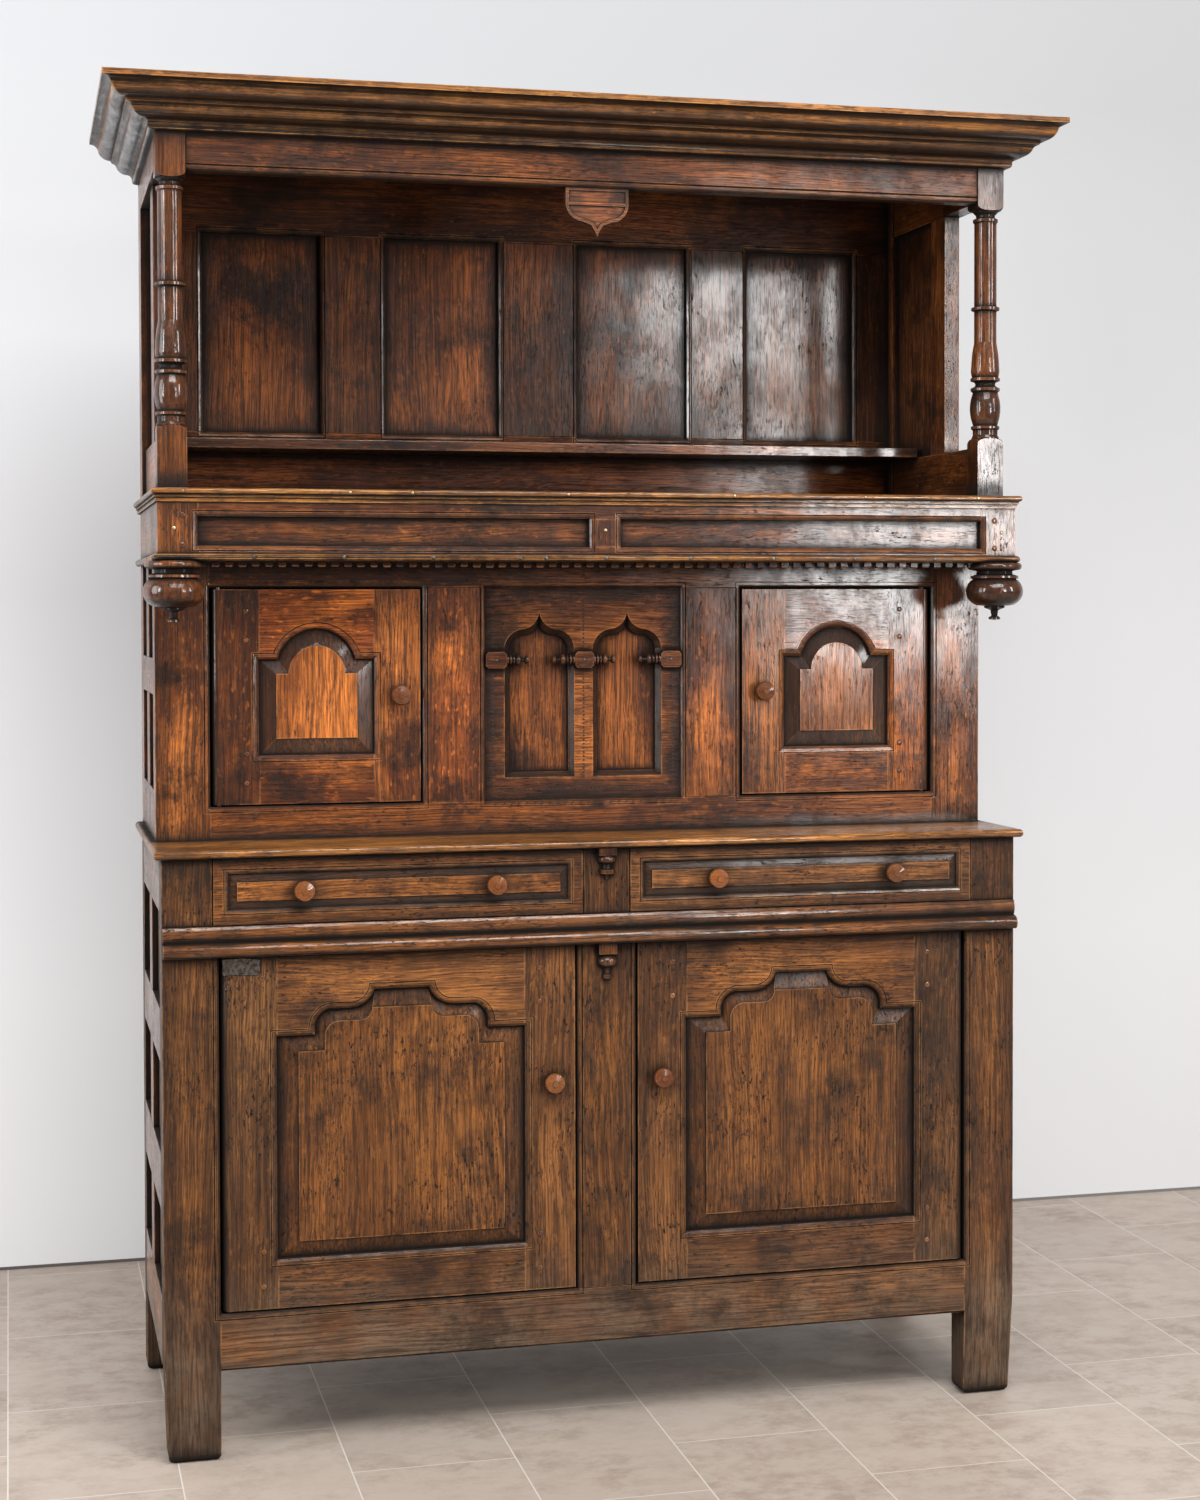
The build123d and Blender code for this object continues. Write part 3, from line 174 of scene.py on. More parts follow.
def oak_figure_group():
    """Growth rings, streaks, pores and ray fleck of a board whose grain runs along an axis."""
    g, given, result = group(
        "oak figure",
        [("Point", ARROW), ("Grain", ARROW), ("Shift", ARROW)],
        [
            ("Streaks", NUMBER), ("Bands", NUMBER), ("Rings", NUMBER), ("Pores", NUMBER), ("Fleck", NUMBER),
            ("Clouds", NUMBER), ("Specks", NUMBER),
        ],
    )
    point = g.vector("ADD", given["Point"], given["Shift"])
    along = g.vector("DOT_PRODUCT", point, given["Grain"])
    axis_part = g.vector("SCALE", given["Grain"], along)
    straight = g.vector("SUBTRACT", point, axis_part)

    def stretched(share, across):
        return g.vector("ADD", across, g.vector("SCALE", axis_part, share))

    # the fibres sway a little as they run
    sway = g.noise(stretched(0.30, straight), 7.0, 3.0, 0.5, out="Color")
    sway = g.vector("SCALE", g.vector("SUBTRACT", sway, (0.5, 0.5, 0.5)), 0.030)
    across = g.vector("ADD", straight, sway)

    g.feed(result["Clouds"], g.noise(stretched(0.45, straight), 6.0, 5.0, 0.62))
    g.feed(result["Bands"], g.noise(stretched(0.03, across), 130.0, 4.0, 0.65))
    g.feed(result["Streaks"], g.noise(stretched(0.022, across), 300.0, 4.0, 0.6))
    # rings are shells round a pith line that leans a little across the board
    lean = g.vector("SCALE", g.vector("NORMALIZE", given["Shift"]), g.math("MULTIPLY", along, 0.08))
    radius = g.vector("LENGTH", g.vector("ADD", across, lean))
    rings = g.math("MULTIPLY_ADD", g.math("SINE", g.math("MULTIPLY", radius, RING_TURNS)), 0.5, 0.5)
    g.feed(result["Rings"], g.math("POWER", rings, 2.5))
    fine = g.noise(stretched(0.035, across), 900.0, 2.0, 0.6)
    g.feed(result["Pores"], g.remap(fine, 0.54, 0.66))
    fleck = g.noise(stretched(0.35, across), 170.0, 2.0, 0.5)
    g.feed(result["Fleck"], g.remap(fleck, 0.60, 0.72))
    g.feed(result["Specks"], g.noise(stretched(0.35, across), 230.0, 4.0, 0.75))
    return g.tree


def rim_group():
    """How far a point lies in from the sides of its own piece: a dark rim, and a middle rubbed bright."""
    g, given, result = group(
        "rim and middle",
        [("Point", ARROW), ("Low", ARROW), ("High", ARROW)],
        [("Rim", NUMBER), ("Middle", NUMBER)],
    )
    from_low = g.vector("SUBTRACT", given["Point"], given["Low"])
    to_high = g.vector("SUBTRACT", given["High"], given["Point"])
    near = g.split(g.vector("MINIMUM", from_low, to_high))
    depth = g.math("MINIMUM", g.math("MINIMUM", near["X"], near["Y"]), near["Z"])
    cloudy = g.noise(given["Point"], 17.0, 4.0, 0.65)
    ragged = g.math("ADD", depth, g.centred(cloudy, 0.07))
    g.feed(result["Rim"], g.remap(ragged, 0.034, 0.006))
    g.feed(result["Middle"], g.remap(ragged, 0.020, 0.085))
    return g.tree


def wear_and_shade_group():
    """Masks for edges rubbed light, partly a painted highlight; for hollows and corners where wax and dust
    have gathered, partly painted shade; and for deep nooks, bevels and faces that look down, which are
    painted shade.
    """
    g, given, result = group(
        "wear",
        [("Point", ARROW)],
        [
            ("Edges", NUMBER), ("Hollows", NUMBER), ("Corners", NUMBER), ("Nooks", NUMBER),
            ("Slopes", NUMBER), ("Under", NUMBER),
        ],
    )

    def openness(reach, samples=6):
        node = g.add("ShaderNodeAmbientOcclusion", samples=samples)
        node.inputs["Distance"].default_value = reach
        return node.outputs["AO"]

    bevel = g.add("ShaderNodeBevel", samples=4)
    bevel.inputs["Radius"].default_value = 0.0035
    flat = g.add("ShaderNodeNewGeometry").outputs["Normal"]
    turn = g.vector("DOT_PRODUCT", bevel.outputs["Normal"], flat)
    edge = g.remap(turn, 0.995, 0.80)
    patchy = g.noise(given["Point"], 24.0, 4.0, 0.7)
    wide = openness(0.032)
    near = openness(0.011)
    far = openness(0.16, samples=5)
    outward = g.remap(near, 0.70, 0.96)
    rubbed = g.math("MULTIPLY", edge, g.remap(patchy, 0.40, 0.62))
    g.feed(result["Edges"], g.math("MULTIPLY", rubbed, outward))
    # hollows and corners gather wax and dust, and are darkened as painted shade as well; the deep nooks are
    # darkened only as painted shade
    g.feed(result["Hollows"], g.remap(g.math("ADD", wide, g.centred(patchy, 0.5)), 0.94, 0.52))
    g.feed(result["Corners"], g.remap(near, 0.965, 0.70))
    g.feed(result["Nooks"], g.remap(g.math("ADD", far, g.centred(patchy, 0.4)), 0.86, 0.46))
    # bevels and mouldings are the faces that are square to none of the axes of the piece; the oak darkens
    # them as painted shade
    own = g.add("ShaderNodeVectorTransform", vector_type="NORMAL", convert_from="WORLD", convert_to="OBJECT")
    g.feed(own.inputs[0], g.add("ShaderNodeNewGeometry").outputs["True Normal"])
    facing = g.split(g.vector("ABSOLUTE", own.outputs[0]))
    square = g.math("MAXIMUM", g.math("MAXIMUM", facing["X"], facing["Y"]), facing["Z"])
    g.feed(result["Slopes"], g.remap(square, 0.998, 0.975))
    # the faces that look down are darkened as painted shade
    rise = g.math("ADD", g.split(own.outputs[0])["Z"], g.centred(patchy, 0.20))
    g.feed(result["Under"], g.remap(rise, -0.40, -0.66))
    return g.tree


def old_oak_group(figure, rim, wear):
    """The colour, gloss and fine relief of old oak, from its figure, its rims and its worn edges, with shade
    painted into its hollows, nooks, bevels and undersides and a highlight painted along its edges.
    """
    g, given, result = group(
        "old oak",
        [
            ("Point", ARROW), ("Grain", ARROW), ("Shift", ARROW), ("Low", ARROW), ("High", ARROW),
            ("Tone", NUMBER), ("Cast", NUMBER), ("Soot", NUMBER), ("Bevels", NUMBER),
            ("Wood", COLOUR), ("Glow", COLOUR), ("Dark", COLOUR), ("Worn", COLOUR),
            ("Figure", NUMBER), ("Smoke", NUMBER), ("Pits", NUMBER), ("Grime", NUMBER), ("Rubbed", NUMBER),
            ("Washed", NUMBER), ("Gloss", NUMBER),
        ],
        [("Colour", COLOUR), ("Roughness", NUMBER), ("Height", NUMBER), ("Polish", NUMBER)],
    )
    look = g.place("figure", figure, Point=given["Point"], Grain=given["Grain"], Shift=given["Shift"])
    inset = g.place("rim", rim, Point=given["Point"], Low=given["Low"], High=given["High"])
    masks = g.place("wear", wear, Point=given["Point"])

    lit = g.remap(look["Clouds"], 0.40, 0.61, -0.15, 1.00)
    lit = g.math("ADD", lit, g.math("MULTIPLY_ADD", inset["Middle"], 0.50, -0.15), clamp=True)
    colour = g.mix(lit, given["Wood"], given["Glow"])
    for mask, low, high, most in (
        (look["Bands"], 0.44, 0.62, 0.44),
        (look["Streaks"], 0.45, 0.60, 0.64),
    ):
        shade = g.math("MULTIPLY", g.remap(mask, low, high, 0.0, most), given["Figure"])
        colour = g.mix(shade, colour, given["Dark"])
    ringed = g.math("MULTIPLY", look["Rings"], g.remap(look["Clouds"], 0.40, 0.58, 0.08, 0.40))
    colour = g.mix(g.math("MULTIPLY", ringed, given["Figure"]), colour, given["Dark"])
    colour = g.mix(g.math("MULTIPLY", look["Fleck"], 0.35), colour, given["Glow"])
    colour = g.mix(g.math("MULTIPLY", look["Pores"], 0.85), colour, given["Dark"])

    # each piece of wood is a little lighter or darker, more amber or greyer, than its neighbour; on some
    # pieces the lift is painted light and shade
    lift = g.math("POWER", 2.0, given["Tone"])
    tint = g.add("ShaderNodeCombineColor")
    for socket, share in zip(tint.inputs, CAST_SHARES):
        g.feed(socket, g.math("MULTIPLY", lift, g.math("MULTIPLY_ADD", given["Cast"], share, 1.0)))
    colour = g.mix(1.0, colour, tint.outputs[0], "MULTIPLY")

    # black pits and knocks
    fields = g.noise(given["Point"], 9.0, 3.0, 0.6)
    pits = g.math("MULTIPLY", g.remap(look["Specks"], 0.565, 0.62), g.remap(fields, 0.40, 0.56, 0.08, 1.0))
    colour = g.mix(g.math("MULTIPLY", pits, given["Pits"]), colour, SOOT_AND_SHADE)

    # pale, dry wood towards the floor
    foot = g.remap(g.split(given["Point"])["Z"], 0.30, 0.12)
    patchy = g.remap(fields, 0.35, 0.62, 0.30, 1.0)
    washed = g.math("MULTIPLY", foot, g.math("MULTIPLY", given["Washed"], patchy))
    pale = g.mix(g.remap(look["Streaks"], 0.42, 0.62), *PALE_WOOD)
    colour = g.mix(washed, colour, pale)

    # soot and old wax lie in clouds over everything, and thickest along the rims; the deep nooks, the bevels
    # and the faces that look down are darkened as painted shade
    smoke = g.remap(g.noise(given["Point"], 6.5, 7.0, 0.72), 0.485, 0.62, 0.0, 0.92)
    rim_soot = g.math("MULTIPLY", g.math("POWER", inset["Rim"], 0.8), given["Soot"])
    smoke = g.math("MAXIMUM", smoke, g.math("MULTIPLY", masks["Nooks"], 0.85))
    smoke = g.math("MAXIMUM", g.math("MULTIPLY", smoke, given["Smoke"]), rim_soot)
    # sloping bevels and mouldings are darkened: painted shade
    smoke = g.math("MAXIMUM", smoke, g.math("MULTIPLY", masks["Slopes"], given["Bevels"]))
    # the faces that look down are darkened: painted shade
    smoke = g.math("MAXIMUM", smoke, masks["Under"])
    colour = g.mix(g.math("MULTIPLY", smoke, 0.90), colour, SOOT_AND_SHADE)
    # the edges are lighter where rubbed: real wear, and a painted highlight along the arrises
    worn = g.math("MULTIPLY", masks["Edges"], given["Rubbed"])
    colour = g.mix(worn, colour, given["Worn"])
    # hollows and corners are darkened: gathered wax and dust, and painted shade
    grime = g.math("MULTIPLY", masks["Hollows"], given["Grime"], clamp=True)
    corner = g.math("MULTIPLY", masks["Corners"], given["Grime"], clamp=True)
    dirt_and_shade = g.math("MAXIMUM", g.math("MULTIPLY", grime, 0.85), corner)
    colour = g.mix(g.math("MULTIPLY", dirt_and_shade, 0.94), colour, SOOT_AND_SHADE)
    g.feed(result["Colour"], colour)

    # each mark, and how much rougher it makes the wood
    smears = g.noise(given["Point"], 30.0, 4.0, 0.7)
    soiled_and_shaded = g.math("MAXIMUM", grime, corner)
    rough = given["Gloss"]
    for mark, more in ((smears, 0.20), (look["Pores"], 0.10), (pits, 0.15), (soiled_and_shaded, 0.40), (washed, 0.25)):
        rough = g.math("MULTIPLY_ADD", mark, more, rough, clamp=True)
    g.feed(result["Roughness"], rough)

    # the wax shines in rubbed patches, but not in pores and pits, nor in the hollows that hold old wax and
    # painted shade
    dull = g.math("MAXIMUM", g.math("MULTIPLY", soiled_and_shaded, 0.85), washed)
    waxed = g.math("SUBTRACT", 1.0, g.math("MAXIMUM", dull, pits), clamp=True)
    waxed = g.math("MULTIPLY", waxed, g.math("MULTIPLY_ADD", look["Pores"], -0.75, 1.0))
    rubs = g.noise(g.vector("MULTIPLY", given["Point"], (1.0, 1.0, 0.6)), 20.0, 7.0, 0.74)
    g.feed(result["Polish"], g.math("MULTIPLY", waxed, g.remap(rubs, 0.42, 0.57, 0.45, 1.15)))

    # each mark, and how far it rises (+) or sinks (-) in metres
    height = 0.0
    for mark, metres in (
        (look["Pores"], -0.00022),
        (look["Bands"], -0.00040),
        (look["Streaks"], -0.00018),
        (g.noise(given["Point"], 13.0, 2.0, 0.5), 0.0017),
        (smears, 0.00025),
        (g.math("MULTIPLY", pits, given["Pits"]), -0.00035),
        (g.math("MULTIPLY", worn, look["Specks"]), -0.0009),
    ):
        height = g.math("MULTIPLY_ADD", mark, metres, height)
    g.feed(result["Height"], height)
    return g.tree


def stone_tiles_group():
    """A floor of oblong stone tiles in running bond, with thin pale joints and veins."""
    g, given, result = group(
        "stone tiles",
        [
            ("Point", ARROW), ("Across", NUMBER), ("Along", NUMBER),
            ("Stone", COLOUR), ("Vein", COLOUR), ("Joint", COLOUR),
        ],
        [("Colour", COLOUR), ("Roughness", NUMBER)],
    )
    spot = g.split(given["Point"])
    side = g.math("DIVIDE", g.math("ADD", spot["X"], -TILE_CORNER[0]), given["Across"])
    column = g.math("FLOOR", side)
    half = g.math("MULTIPLY", g.math("FLOORED_MODULO", column, 2.0), 0.5)
    run = g.math("ADD", g.math("DIVIDE", g.math("ADD", spot["Y"], -TILE_CORNER[1]), given["Along"]), half)
    row = g.math("FLOOR", run)
    gaps = []
    for place, whole, length in ((side, column, given["Across"]), (run, row, given["Along"])):
        part = g.math("SUBTRACT", place, whole)
        gaps.append(g.math("MULTIPLY", g.math("MINIMUM", part, g.math("SUBTRACT", 1.0, part)), length))
    joint = g.remap(g.math("MINIMUM", *gaps), 0.0013, 0.0007)
    number = g.add("ShaderNodeTexWhiteNoise", noise_dimensions="2D")
    corner = g.add("ShaderNodeCombineXYZ")
    g.feed(corner.inputs[0], column)
    g.feed(corner.inputs[1], row)
    g.feed(number.inputs["Vector"], corner.outputs[0])
    moved = g.vector("ADD", given["Point"], g.vector("SCALE", number.outputs["Color"], 5.0))
    cloud = g.noise(moved, 5.0, 5.0, 0.6)
    vein = g.noise(g.vector("MULTIPLY", moved, (1.0, 1.3, 1.0)), 15.0, 9.0, 0.76)
    veined = g.math("MULTIPLY", g.remap(vein, 0.44, 0.60), g.remap(cloud, 0.36, 0.60, 0.25, 1.0))
    colour = g.mix(veined, given["Stone"], given["Vein"])
    shade = g.remap(number.outputs["Value"], 0.0, 1.0, 0.93, 1.05)
    tint = g.add("ShaderNodeCombineColor")
    for socket in tint.inputs:
        g.feed(socket, shade)
    colour = g.mix(1.0, colour, tint.outputs[0], "MULTIPLY")
    g.feed(result["Colour"], g.mix(joint, colour, given["Joint"]))
    g.feed(result["Roughness"], g.remap(vein, 0.3, 0.7, 0.42, 0.60))
    return g.tree


oak_figure = oak_figure_group()
rim_and_middle = rim_group()
wear = wear_and_shade_group()
old_oak = old_oak_group(oak_figure, rim_and_middle, wear)
stone_tiles = stone_tiles_group()


# ---------------------------------------------------------------- materials
def material(name):
    made = bpy.data.materials.new(name)
    made.use_nodes = True
    made.node_tree.nodes.clear()
    g = Graph(made.node_tree)
    shader = g.add("ShaderNodeBsdfPrincipled")
    g.feed(g.add("ShaderNodeOutputMaterial").inputs["Surface"], shader.outputs[0])
    return made, g, shader


def stored(g, name, output):
    """A value stored on the faces of each solid."""
    return g.add("ShaderNodeAttribute", attribute_name=name).outputs[output]


def oak(
    name, wood, glow, dark, worn,
    figure=1.0, smoke=0.8, pits=0.3, grime=1.0, rubbed=1.0, washed=0.0, gloss=0.26, coat=0.6, coat_blur=0.12,
):
    """Old oak of one colour and worn state, with shade painted into its hollows."""
    made, g, shader = material(name)
    surface = g.place(
        "oak", old_oak,
        Point=g.spot(),
        Grain=stored(g, "grain", "Vector"), Shift=stored(g, "shift", "Vector"),
        Low=stored(g, "low", "Vector"), High=stored(g, "high", "Vector"),
        Tone=stored(g, "tone", "Fac"), Cast=stored(g, "cast", "Fac"), Soot=stored(g, "soot", "Fac"),
        Bevels=stored(g, "bevels", "Fac"),
        Wood=(*wood, 1.0), Glow=(*glow, 1.0), Dark=(*dark, 1.0), Worn=(*worn, 1.0),
        Figure=figure, Smoke=smoke, Pits=pits, Grime=grime, Rubbed=rubbed, Washed=washed, Gloss=gloss,
    )
    g.feed(shader.inputs["Base Color"], surface["Colour"])
    g.feed(shader.inputs["Roughness"], surface["Roughness"])
    g.relief(shader, surface["Height"], 1.0)
    shader.inputs["Specular IOR Level"].default_value = 0.20
    if coat:
        g.feed(shader.inputs["Coat Weight"], g.math("MULTIPLY", surface["Polish"], coat))
        shader.inputs["Coat Roughness"].default_value = coat_blur
        shader.inputs["Coat IOR"].default_value = 1.65
    return made


red_oak = oak(
    "red oak", (0.135, 0.035, 0.0070), (0.590, 0.176, 0.031), (0.016, 0.0055, 0.0028), (0.50, 0.19, 0.06),
    smoke=1.0, pits=0.70, gloss=0.28, coat=0.55, coat_blur=0.14,
)
# a lighter, golden oak, partly painted light for the convex bands of the cornice that catch the lamps; its
# strong darkening of hollows paints shade under each band
golden_oak = oak(
    "golden oak", (0.240, 0.092, 0.021), (0.560, 0.235, 0.054), (0.018, 0.0075, 0.0035), (0.58, 0.28, 0.08),
    smoke=0.6, pits=0.50, grime=2.4, gloss=0.26, coat=0.6,
)
base_oak = oak(
    "base oak", (0.150, 0.053, 0.0125), (0.330, 0.124, 0.030), (0.022, 0.0085, 0.0040), (0.40, 0.19, 0.07),
    pits=1.0, grime=1.4, washed=0.95, gloss=0.44, coat=0.18, coat_blur=0.20,
)
waxed_oak = oak(
    "waxed oak", (0.150, 0.050, 0.0110), (0.390, 0.140, 0.032), (0.018, 0.0070, 0.0034), (0.44, 0.20, 0.07),
    pits=0.9, grime=1.8, gloss=0.30, coat=0.60, coat_blur=0.14,
)
amber_oak = oak(
    "amber oak", (0.230, 0.066, 0.013), (0.600, 0.190, 0.040), (0.034, 0.0115, 0.0050), (0.55, 0.25, 0.08),
    smoke=0.3, pits=0.40, gloss=0.26, coat=0.6,
)
# its strong darkening of hollows paints shade into the niches of the arcade
arcade_oak = oak(
    "arcade oak", (0.150, 0.040, 0.0085), (0.560, 0.165, 0.030), (0.012, 0.0045, 0.0026), (0.54, 0.23, 0.07),
    pits=0.55, grime=2.0, gloss=0.38, coat=0.22,
)
# a darker copy of the oak for the parts that stand back under the canopy: painted shade
shaded_oak = oak(
    "shaded oak", (0.080, 0.025, 0.0080), (0.270, 0.084, 0.021), (0.007, 0.0034, 0.0026), (0.26, 0.12, 0.05),
    smoke=1.0, pits=0.60, grime=1.3, gloss=0.24, coat=0.68,
)
dry_oak = oak(
    "dry oak", (0.100, 0.058, 0.032), (0.180, 0.112, 0.062), (0.024, 0.014, 0.009), (0.24, 0.16, 0.10),
    pits=0.60, gloss=0.62, coat=0.0,
)
# its very strong darkening of hollows paints shade at the collars and fillets of the turnings
turned_oak = oak(
    "turned oak", (0.080, 0.022, 0.0060), (0.330, 0.098, 0.019), (0.008, 0.0036, 0.0026), (0.42, 0.17, 0.06),
    figure=0.9, smoke=1.0, pits=0.35, grime=4.0, rubbed=0.5, gloss=0.20, coat=0.60, coat_blur=0.05,
)
fruitwood = oak(
    "fruitwood", (0.140, 0.040, 0.0090), (0.300, 0.098, 0.022), (0.060, 0.017, 0.005), (0.45, 0.20, 0.08),
    figure=0.5, smoke=0.2, pits=0.15, grime=1.0, rubbed=0.4, gloss=0.20, coat=0.6, coat_blur=0.08,
)


def metal(name, colour, rough, rust):
    """Old worked metal with a mottled skin."""
    made, g, shader = material(name)
    skin = g.noise(g.spot(), 180.0, 4.0, 0.7)
    g.feed(shader.inputs["Base Color"], g.mix(g.remap(skin, 0.42, 0.62), (*colour, 1.0), (*rust, 1.0)))
    shader.inputs["Metallic"].default_value = 1.0
    g.feed(shader.inputs["Roughness"], g.math("MULTIPLY_ADD", skin, 0.3, rough))
    g.relief(shader, skin, 0.0004)
    return made


iron = metal("iron", (0.16, 0.15, 0.14), 0.30, (0.06, 0.035, 0.022))
brass = metal("brass", (0.62, 0.48, 0.30), 0.18, (0.26, 0.17, 0.09))


def punched_black():
    """The filth packed into punched dots and small cuts, and the shade inside them, painted as one black."""
    made, g, shader = material("punched black")
    specks = g.noise(g.spot(), 400.0, 3.0, 0.6)
    black, brown = (0.004, 0.003, 0.0025, 1.0), (0.014, 0.009, 0.007, 1.0)
    g.feed(shader.inputs["Base Color"], g.mix(specks, black, brown))
    g.feed(shader.inputs["Roughness"], g.remap(specks, 0.3, 0.7, 0.45, 0.75))
    return made


packed_dirt_and_shade = punched_black()


# ---------------------------------------------------------------- grain and tone of each solid
AXES = {"x": (1.0, 0.0, 0.0), "y": (0.0, 1.0, 0.0), "z": (0.0, 0.0, 1.0)}
FAR = 10.0                 # pushes the thickness of a piece out of reach of its rim
SAME_CORNER = 0.00001      # corners nearer to each other than this are one
ROUND_ANGLE = 38           # edges that turn by more degrees than this are rounded


def box_of(points):
    """The low and high corners of the box round some points."""
    return [min(p[k] for p in points) for k in range(3)], [max(p[k] for p in points) for k in range(3)]


def solids_of(mesh):
    """The faces of each closed solid in a mesh whose solids may touch at their corners."""
    spot = [tuple(round(c, 5) for c in vertex.co) for vertex in mesh.vertices]
    edges = {}
    for face in mesh.polygons:
        ring = [spot[i] for i in face.vertices]
        for a, b in zip(ring, ring[1:] + ring[:1]):
            edges.setdefault((a, b) if a < b else (b, a), []).append(face.index)
    parent = list(range(len(mesh.polygons)))

    def root(i):
        while parent[i] != i:
            parent[i] = parent[parent[i]]
            i = parent[i]
        return i

    for faces in edges.values():
        if len(faces) == 2:
            parent[root(faces[0])] = root(faces[1])
    found = {}
    for face in mesh.polygons:
        found.setdefault(root(face.index), []).append(face.index)
    return list(found.values())


def place_in_frame(low, high, node_low, node_high):
    """Names a solid of a door or frame by where it lies: its long way, and which side or end it is on."""
    middle = [(a + b) / 2 for a, b in zip(low, high)]
    whole = [(a + b) / 2 for a, b in zip(node_low, node_high)]
    upright = high[2] - low[2] > high[0] - low[0]
    if upright:
        return "left" if middle[0] < whole[0] else "right"
    return "bottom" if middle[2] < whole[2] else "top"


def set_grain(obj, direction=None, lift=0.0, spread=0.14, soot=0.25, bevels=0.0, casts=None):
    """Stores what the oak has to know of every solid: its grain, its place in the tree, its box and tone."""
    mesh = obj.data
    kinds = dict.fromkeys(("grain", "shift", "low", "high"), "FLOAT_VECTOR")
    kinds.update(dict.fromkeys(("tone", "cast", "soot", "bevels"), "FLOAT"))
    for label, kind in kinds.items():
        mesh.attributes.new(label, kind, "FACE")
    stores = {label: mesh.attributes[label] for label in kinds}
    chance = random.Random(obj.name)
    node_low, node_high = box_of([vertex.co for vertex in mesh.vertices])
    for faces in solids_of(mesh):
        low, high = box_of([mesh.vertices[i].co for f in faces for i in mesh.polygons[f].vertices])
        size = [b - a for a, b in zip(low, high)]
        way = AXES[direction] if direction else AXES["xyz"[size.index(max(size))]]
        thin = size.index(min(size))
        name = place_in_frame(low, high, node_low, node_high)
        own_lift, cast = (casts or {}).get(name, (0.0, 0.0))
        low[thin] -= FAR
        high[thin] += FAR
        vectors = {
            "grain": way,
            "shift": [chance.uniform(0.06, 0.35) * chance.choice((-1, 1)) for _ in range(3)],
            "low": low,
            "high": high,
        }
        numbers = {
            "tone": lift + own_lift + chance.uniform(-spread, spread),
            "cast": cast + chance.uniform(-0.25, 0.25),
            "soot": soot,
            "bevels": bevels,
        }
        for f in faces:
            for label, value in vectors.items():
                stores[label].data[f].vector = value
            for label, value in numbers.items():
                stores[label].data[f].value = value


def finish_node(name, finish, direction=None, round_edges=0.0011, **grain):
    """Gives a node its wood, its grain and slightly rounded edges."""
    obj = nodes[name]
    obj.data.materials.clear()
    obj.data.materials.append(finish)
    set_grain(obj, direction, **grain)
    if round_edges:
        weld = obj.modifiers.new("weld", "WELD")
        weld.merge_threshold = SAME_CORNER
        soften = obj.modifiers.new("soften", "BEVEL")
        soften.width = round_edges
        soften.segments = 2
        soften.limit_method = "ANGLE"
        soften.angle_limit = math.radians(ROUND_ANGLE)
        soften.use_clamp_overlap = True


SIDES = ("left", "right")

# each row: the node, the way of its grain, its lift in stops, how sooty its rims are and how much painted
# shade darkens its bevels
BASE = (
    ("base_posts", None, -0.55, 0.55, 0.3), ("base_front_rails", None, -0.30, 0.30, 0.2),
    ("base_front_muntins", "z", -0.80, 0.35, 0.3),
)
WAXED = (("base_rails", None, -0.20, 0.40, 0.0), ("waist_moulding", "x", -0.25, 0.15, 0.0))
DRY = (
    ("base_side_panels", "z", 0.0, 0.30, 0.0), ("base_back_boards", "z", 0.0, 0.20, 0.0),
    ("floor_boards", "x", 0.0, 0.20, 0.0), ("drawer_runners", "y", 0.0, 0.20, 0.0),
    ("mid_back_boards", "z", 0.0, 0.20, 0.0), ("canopy_soffit", "x", -0.30, 0.40, 0.0),
    ("top_boards", "x", 0.0, 0.10, 0.0),
)
RED = (
    ("mid_front_rails", "x", 0.05, 0.60, 0.85),
    ("mid_side_rails", "y", 0.0, 0.30, 0.0), ("mid_side_panels", "z", 0.0, 0.40, 0.3),
    ("side_muntins", "z", 0.0, 0.30, 0.0), ("upper_case_posts", "z", 0.60, 0.45, 0.85),
    ("frieze_posts", "z", -0.20, 0.20, 0.5), ("frieze_rails", "x", -0.30, 0.20, 0.6),
    ("frieze_panels", "x", 0.0, 0.75, 0.0), ("canopy_side_rails", "y", 0.0, 0.20, 0.4),
    ("upper_side_rails", "y", -0.20, 0.25, 0.4),
)
GOLDEN = (
    ("cornice", None, 0.10, 0.05, 0.0), ("canopy_deck_boards", "x", 0.0, 0.05, 0.0),
    ("canopy_bead", None, 0.0, 0.0, 0.0), ("table_top_boards", "x", 0.0, 0.10, 0.0),
)
ARCADE = (
    ("arcade_board", "x", 0.05, 0.90, 0.95), ("arcade_back_panel", "z", -0.40, 0.80, 0.0),
    # the front top rail is darker for the shadow of the cornice over it: painted shade
    ("front_top_rail", "x", -0.90, 0.20, 0.5),
)
SHADED = (
    ("upper_back_muntins", "z", 0.50, 0.40, 0.9),
    ("upper_side_panels", "z", 0.30, 0.50, 0.3),
    ("upper_shelf", "x", 0.50, 0.20, 0.0), ("pendant_shield", "x", 1.20, 0.3, 0.9),
)
TURNED = (
    ("turned_columns", "z"), ("drop_pendants", "z"), ("split_drops", "z"), ("arcade_split_turnings", "x"),
)

# the lift in stops, and the amber (+) or grey (-) cast, of the two stiles and two rails of each door
DOOR_PARTS = ("left", "right", "bottom", "top")
DOOR_CASTS = {
    "lower_door_left": ((0.2, -0.4), (0.5, 0.1), (0.0, 0.4), (0.7, 0.0)),
    "lower_door_right": ((0.1, -0.1), (-0.2, -0.2), (0.0, 0.3), (0.3, 0.0)),
    "upper_door_left": ((-0.4, 0.1), (0.2, -0.2), (0.0, 0.2), (1.2, 0.2)),
    "upper_door_right": ((0.0, -0.5), (-0.2, 0.2), (0.0, 0.0), (0.5, -0.3)),
}


